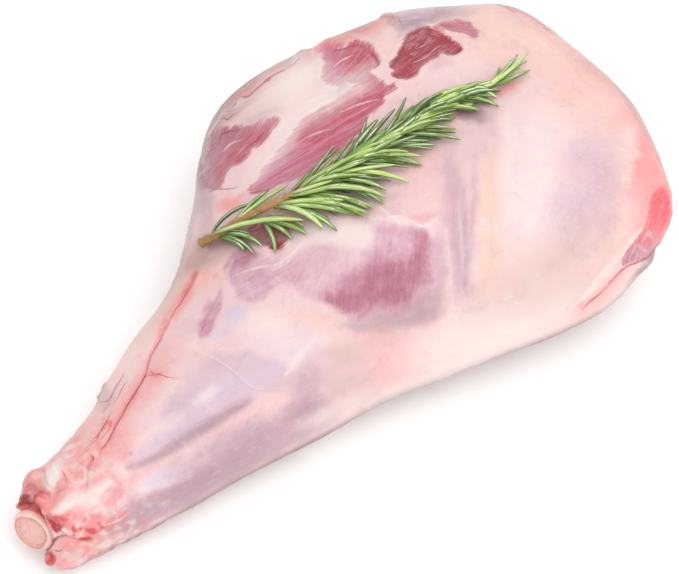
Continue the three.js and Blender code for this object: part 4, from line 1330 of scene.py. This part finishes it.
def smooth_line(corners, steps):
    """A smooth line in the room through its corners."""
    here = np.array(corners, float)
    ends = [2 * here[0] - here[1], *here, 2 * here[-1] - here[-2]]
    line = []
    for before, start, end, after in zip(ends, ends[1:], ends[2:], ends[3:]):
        for t in np.arange(steps) / steps:
            bend = 2 * before - 5 * start + 4 * end - after
            twist = 3 * start - before - 3 * end + after
            line.append(0.5 * (2 * start + (end - before) * t + bend * t**2 + twist * t**3))
    return np.array([*line, here[-1]])


def frames_along(line, ups):
    """The way across and the way up at each point of a line."""
    along = np.gradient(line, axis=0)
    along /= np.linalg.norm(along, axis=1)[:, None]
    across = np.cross(ups, along)
    across /= np.linalg.norm(across, axis=1)[:, None]
    return across, np.cross(along, across)


def twig_mesh(name, points, faces, **values):
    mesh = bpy.data.meshes.new(name)
    mesh.from_pydata(points, [], faces)
    mesh.shade_smooth()
    for key, column in values.items():
        mesh.attributes.new(key, "FLOAT", "POINT").data.foreach_set("value", np.array(column, np.float32))
    piece = bpy.data.objects.new(name, mesh)
    bpy.context.scene.collection.objects.link(piece)
    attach(piece, "root")
    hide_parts("rosemary_sprig")
    return piece


stem_corners = [over_meat((across, down), height)[0] for across, down, height in STEM_LINE]
stem_line = smooth_line(stem_corners, STEM_STEPS)
stem_share = np.linspace(0, 1, len(stem_line))
stem_across, stem_up = frames_along(stem_line, np.tile((0, 0, 1.0), (len(stem_line), 1)))
stem_radius = np.interp(stem_share, (0, 0.3, 1), (STEM_RADIUS[0], 1.6, STEM_RADIUS[1])) * MILLIMETRE
stem_radius *= 1 + 0.14 * np.cos(2 * math.pi * LEAF_NODES * stem_share) * (stem_share < 0.9)
stem_turns = 2 * math.pi * np.arange(STEM_SIDES) / STEM_SIDES
stem_points = []
for spot, radius, across, up in zip(stem_line, stem_radius, stem_across, stem_up):
    for turn in stem_turns:
        uneven = 1 + 0.12 * noise.noise(Vector(spot) * 400 + Vector((turn, 0, 0)))
        stem_points.append(spot + (across * math.cos(turn) + up * math.sin(turn)) * radius * uneven)
stem = twig_mesh(
    "rosemary_stem",
    stem_points,
    tube_faces(len(stem_line), STEM_SIDES),
    along=np.repeat(stem_share, STEM_SIDES),
)

bark, surface = new_finish("rosemary_bark")
place = surface.node("TexCoord", output="Object")
patchy = surface.clouds(place, 380, 4, 0.6)
age = surface.mark("along").step(0.02, 0.5)
woody = age.tint(paint(176, 130, 78), paint(206, 150, 90))
woody = (surface.mark("along").step(0.62, 0.9)).tint(woody, paint(150, 160, 80))
woody = (patchy.step(0.5, 0.75) * 0.6).tint(woody, paint(120, 84, 40))
woody = (surface.mark("along").step(0.004, 0)).tint(woody, paint(206, 178, 112))
surface.feed({
    "Base Color": woody,
    "Roughness": 0.55 + (patchy - 0.5) * 0.3,
    "Normal": surface.bump(patchy, 0.5, 0.0005),
})
stem.data.materials.append(bark)

# Rosemary leaves: narrow, leathery and green, in pairs round the stem, with rolled edges,
# a groove along the top and a pale felted underside. Each is a closed body on a bent line.
LEAF_SECTION = np.array([  # across and up, as shares of half the leaf's width
    (-1, -0.05), (-0.86, 0.3), (-0.5, 0.5), (-0.2, 0.4), (0, 0.26),
    (0.2, 0.4), (0.5, 0.5), (0.86, 0.3), (1, -0.05),
    (0.78, -0.3), (0.4, -0.14), (0.14, -0.32), (-0.14, -0.32), (-0.4, -0.14), (-0.78, -0.3),
])
LEAF_OUTLINE = [  # share of the leaf's length, and share of its full width there
    (0, 0.35), (0.04, 0.6), (0.15, 0.9), (0.35, 1), (0.6, 0.97),
    (0.8, 0.82), (0.92, 0.6), (0.98, 0.36), (1, 0.12),
]
LEAF_HALF_WIDTH = 1.28
leaf_points = []
leaf_faces = []
leaf_marks = {"along": [], "side": [], "under": [], "age": [], "dry": []}
chance = np.random.default_rng(7)


def add_leaf(root, tip, bow, rises, age, width=1.0, dry=0.5, roll=0):
    """A leaf between two pixels, bowed sideways by some pixels, its rises in millimetres above the meat."""
    root = np.array(root, float)
    tip = np.array(tip, float)
    reach = tip - root
    sideways = np.array((reach[1], -reach[0])) / np.linalg.norm(reach)
    middle = (root + tip) / 2 + sideways * 2 * bow
    shares = np.array([share for share, _ in LEAF_OUTLINE])
    line = []
    ups = []
    for t in shares:
        pixel = (1 - t) ** 2 * root + 2 * t * (1 - t) * middle + t**2 * tip
        height = float(np.interp(t, (0, 0.5, 1), rises))
        spot, up = over_meat(pixel, height)
        line.append(spot)
        ups.append(up)
    line = np.array(line)
    across, up = frames_along(line, np.array(ups))
    c, s = math.cos(roll), math.sin(roll)
    across, up = across * c + up * s, up * c - across * s
    start = len(leaf_points)
    for k, (t, share) in enumerate(LEAF_OUTLINE):
        half = LEAF_HALF_WIDTH * width * share * MILLIMETRE
        for side, height in LEAF_SECTION:
            leaf_points.append(line[k] + across[k] * side * half + up[k] * height * half)
            leaf_marks["along"].append(t)
            leaf_marks["side"].append(side)
            leaf_marks["under"].append(float(height < -0.1))
            leaf_marks["age"].append(age)
            leaf_marks["dry"].append(dry)
    leaf_faces.extend(tube_faces(len(LEAF_OUTLINE), len(LEAF_SECTION), start))


# The few leaves beside the cut end, one by one: root and tip in pixels, bow, rises above the meat, age
# (0 is young and pale, 1 old and dark), and where they aren't usual, the width and how dry the tip is.
SPARSE_LEAVES = [
    ((212, 233), (250, 204), 5, (4, 5, 3), 0.9),
    ((210, 236), (303, 220), 7, (5, 7, 5), 0.15, 1.15),
    ((214, 235), (248, 233), 3, (3, 3, 1.5), 0.45),
    ((216, 236), (254, 254), 6, (3, 3, 1.2), 0.85),
    ((222, 234), (260, 242), 3, (3, 3, 1.2), 0.8),
    ((230, 228), (288, 185), 3, (4.5, 5.5, 3), 0.3),
    ((233, 226), (269, 190), 3, (4, 5, 3), 0.7, 1, 0.9),
    ((238, 223), (286, 193), -2, (4, 5, 3), 0.6),
    ((262, 221), (275, 253), 4, (3, 3, 1.2), 0.55),
    ((268, 221), (307, 234), 3, (3.5, 3.5, 1.5), 0.5),
    ((262, 222), (292, 239), 4, (3, 3, 1.2), 0.55),
    ((266, 217), (304, 226), 3, (3.5, 4, 2), 0.65),
    ((274, 208), (337, 231), 8, (4.5, 5.5, 1.6), 0.5, 1, 0.9),
    ((277, 206), (323, 228), 6, (5, 6.5, 2.5), 0.1, 1.2),
    ((274, 207), (350, 214), 5, (5, 6, 2), 0.35, 1.1),
    ((276, 205), (370, 214), 8, (5.5, 6.5, 2.5), 0.3),
    ((276, 205), (362, 216), 6, (5, 5, 1.6), 0.4),
    ((278, 204), (345, 200), 2, (5.5, 7, 4), 0.2, 1.1),
    ((276, 206), (330, 221), 5, (4, 4, 1.5), 0.7),
]
for leaf in SPARSE_LEAVES:
    add_leaf(*leaf)

# The dense middle: at each place one or two leaves lean to the upper side, two or three curve out below and
# two lie on top.
DENSE = (0.305, 0.79)  # shares of the stem
DENSE_PLACES = 26
stem_pixels = smooth_line([(across, down) for across, down, _ in STEM_LINE], STEM_STEPS)
LEAF_KINDS = {  # turn from the stem in degrees, share of it left by the tip, length, bow, rises, age
    "upper": dict(turns=(2, 22), late=-0.5, length=(0.7, 1.05), bow=(-3, 2), rises=((5, 6, 4), (5, 8, 6)),
                  age=(0.55, 1)),
    "lower": dict(turns=(-50, -16), late=0.7, length=(0.75, 1.1), bow=(0, 7),
                  rises=((4, 3.5, 1.2), (6, 6, 3)), age=(0.3, 1)),
    "top": dict(turns=(-26, 10), late=0.4, length=(0.6, 1.05), bow=(-1, 5), rises=((6, 8, 6), (7, 10, 8)),
                age=(0, 0.8)),
}


def between(limits):
    return limits[0] + (limits[1] - limits[0]) * chance.random()


def stem_pixel(spot):
    """The stem's place in the picture, its spot counted in steps from the cut end."""
    return np.array([np.interp(spot, range(len(stem_pixels)), stem_pixels[:, k]) for k in (0, 1)])


for number in range(DENSE_PLACES):
    share = DENSE[0] + (DENSE[1] - DENSE[0]) * number / (DENSE_PLACES - 1)
    spot = share * (len(stem_pixels) - 1)
    root = stem_pixel(spot)
    ahead = stem_pixel(spot + 2) - root
    heading = math.atan2(-ahead[1], ahead[0])
    full = np.interp(share, (0.3, 0.45, 0.62, 0.8), (67, 65, 56, 38))
    low = np.interp(share, (0.3, 0.5, 0.9, 1), (1, 1, 0.8, 0.6))  # the sprig is thinner towards its tip
    kinds = ["upper", "lower", "lower", "top", "upper" if number % 2 else "lower", "top"]
    for kind in kinds:
        shape = LEAF_KINDS[kind]
        kept = np.interp(share, (0.3, 0.5, 0.75), (1.1, 0.9, shape["late"]))
        turn = heading + math.radians(between(shape["turns"])) * kept
        length = full * between(shape["length"])
        start = root + chance.normal(0, 2.0, 2)
        tip = start + length * np.array((math.cos(turn), -math.sin(turn)))
        mix = chance.random()
        rises = [low * (a + (b - a) * mix) for a, b in zip(*shape["rises"])]
        bow = between(shape["bow"])
        width = between((0.85, 1.15))
        age = between(shape["age"])
        add_leaf(start, tip, bow, rises, age, width, dry=chance.random(), roll=between((-0.5, 0.5)))

# Single leaves that stand clear of the rest, and the young ones at the tip.
CLEAR_LEAVES = [
    ((345, 165), (367, 118), -2, (6, 7, 4), 0.95, 0.8, 0.9),
    ((380, 140), (406, 97), -2, (6, 7, 4), 0.9, 0.8, 0.9),
    ((378, 150), (436, 145), 2, (5, 5, 2), 0.6),
    ((360, 158), (421, 156), 3, (6, 7, 3), 0.15),
    ((340, 172), (409, 182), 5, (6, 7, 2), 0.1, 1.1),
    ((405, 130), (456, 129), 3, (5, 5, 2), 0.5),
    ((425, 112), (479, 110), 5, (5, 6, 2), 0.4, 1.2),
    ((442, 101), (499, 107), 7, (5, 5, 2), 0.5, 1, 0.9),
    ((424, 107), (487, 83), 6, (6, 7, 5), 0.2),
    ((430, 107), (488, 87), 4, (6, 8, 5), 0.05, 1.1),
    ((436, 105), (492, 96), 4, (6, 6, 3), 0.45),
    ((318, 188), (386, 197), 6, (6, 7, 2.5), 0.25, 1.1),
    ((325, 184), (384, 204), 6, (5, 5, 1.5), 0.6),
    ((330, 180), (387, 190), 5, (5, 6, 2), 0.45),
    ((300, 196), (374, 208), 6, (5, 5, 1.5), 0.5),
    ((219, 237), (245, 251), 4, (3, 3, 1.2), 0.7, 1, 0.9),
    ((226, 234), (262, 246), 5, (3, 3.5, 1.2), 0.6),
    ((484, 88), (518, 54), -2, (4, 5, 4), 0.5, 0.8, 0.9),
    ((484, 89), (529, 51), -2, (4.5, 6, 5), 0.1, 0.9),
    ((487, 88), (523, 60), 0, (4.5, 6.5, 5), 0.05, 0.9),
    ((490, 86), (527, 61), 2, (4, 5, 3.5), 0.35, 0.85, 0.9),
    ((489, 87), (520, 68), 2, (4, 5, 3.5), 0.2, 0.8, 0.9),
    ((494, 86), (530, 70), 0, (4, 4, 2.5), 0.5, 0.95, 1),
    ((486, 89), (508, 72), 1, (5, 6, 5), 0, 1.15),
    ((492, 84), (512, 77), 1, (4, 4, 3), 0.6, 0.9),
    ((498, 77), (500, 67), 0, (4, 4, 3), 0.6, 0.7),
]
for leaf in CLEAR_LEAVES:
    add_leaf(*leaf)
leaves = twig_mesh("rosemary_leaves", leaf_points, leaf_faces, **leaf_marks)

LEAF_STOPS = [  # colours from the youngest leaf to the oldest
    (0.0, paint(204, 228, 128)),
    (0.3, paint(158, 192, 78)),
    (0.6, paint(112, 150, 50)),
    (1.0, paint(68, 96, 26)),
]
leaf_finish, surface = new_finish("rosemary_leaf")
place = surface.node("TexCoord", output="Object")
cells = surface.clouds(place, 700, 3, 0.6)
shade = surface.clouds(place, 120, 2, 0.5)
green = surface.node("ValToRGB", {"stops": LEAF_STOPS}, {0: surface.mark("age") + (shade - 0.5) * 0.3})
side = surface.mark("side")
along = surface.mark("along")
# A pale stripe along the middle of each leaf: its pale vein, brightened into a painted highlight.
vein_and_highlight_stripe = 1 - (side * side).step(0.0, 0.14)
gleam = (cells - 0.5) * 0.5 + (shade - 0.5) * 3.5 + 0.7
green = (vein_and_highlight_stripe * gleam).tint(green, paint(242, 252, 214))
# Painted shade: the rolled edges of each leaf darkened, as the gaps between leaves fall in shadow.
green = ((side * side).step(0.45, 1) * 0.75).tint(green, paint(38, 58, 8))
# The underside, a felted grey-green darkened with painted shade.
green = (surface.mark("under") * 0.7).tint(green, paint(120, 138, 92))
brown = (along + (shade - 0.5) * 0.12).step(0.9, 1) * surface.mark("dry").step(0.4, 0.9)
green = brown.tint(green, paint(126, 96, 60))
# Painted shade at the base of each leaf, next to the stem.
green = (along.step(0.3, 0) * 0.55).tint(green, paint(48, 66, 26))
surface.feed({
    "Base Color": green,
    "Roughness": 0.34 + (cells - 0.5) * 0.2,
    "Normal": surface.bump(cells, 0.25, 0.0003),
    "Coat Weight": 0.3,
    "Coat Roughness": 0.25,
})
leaves.data.materials.append(leaf_finish)
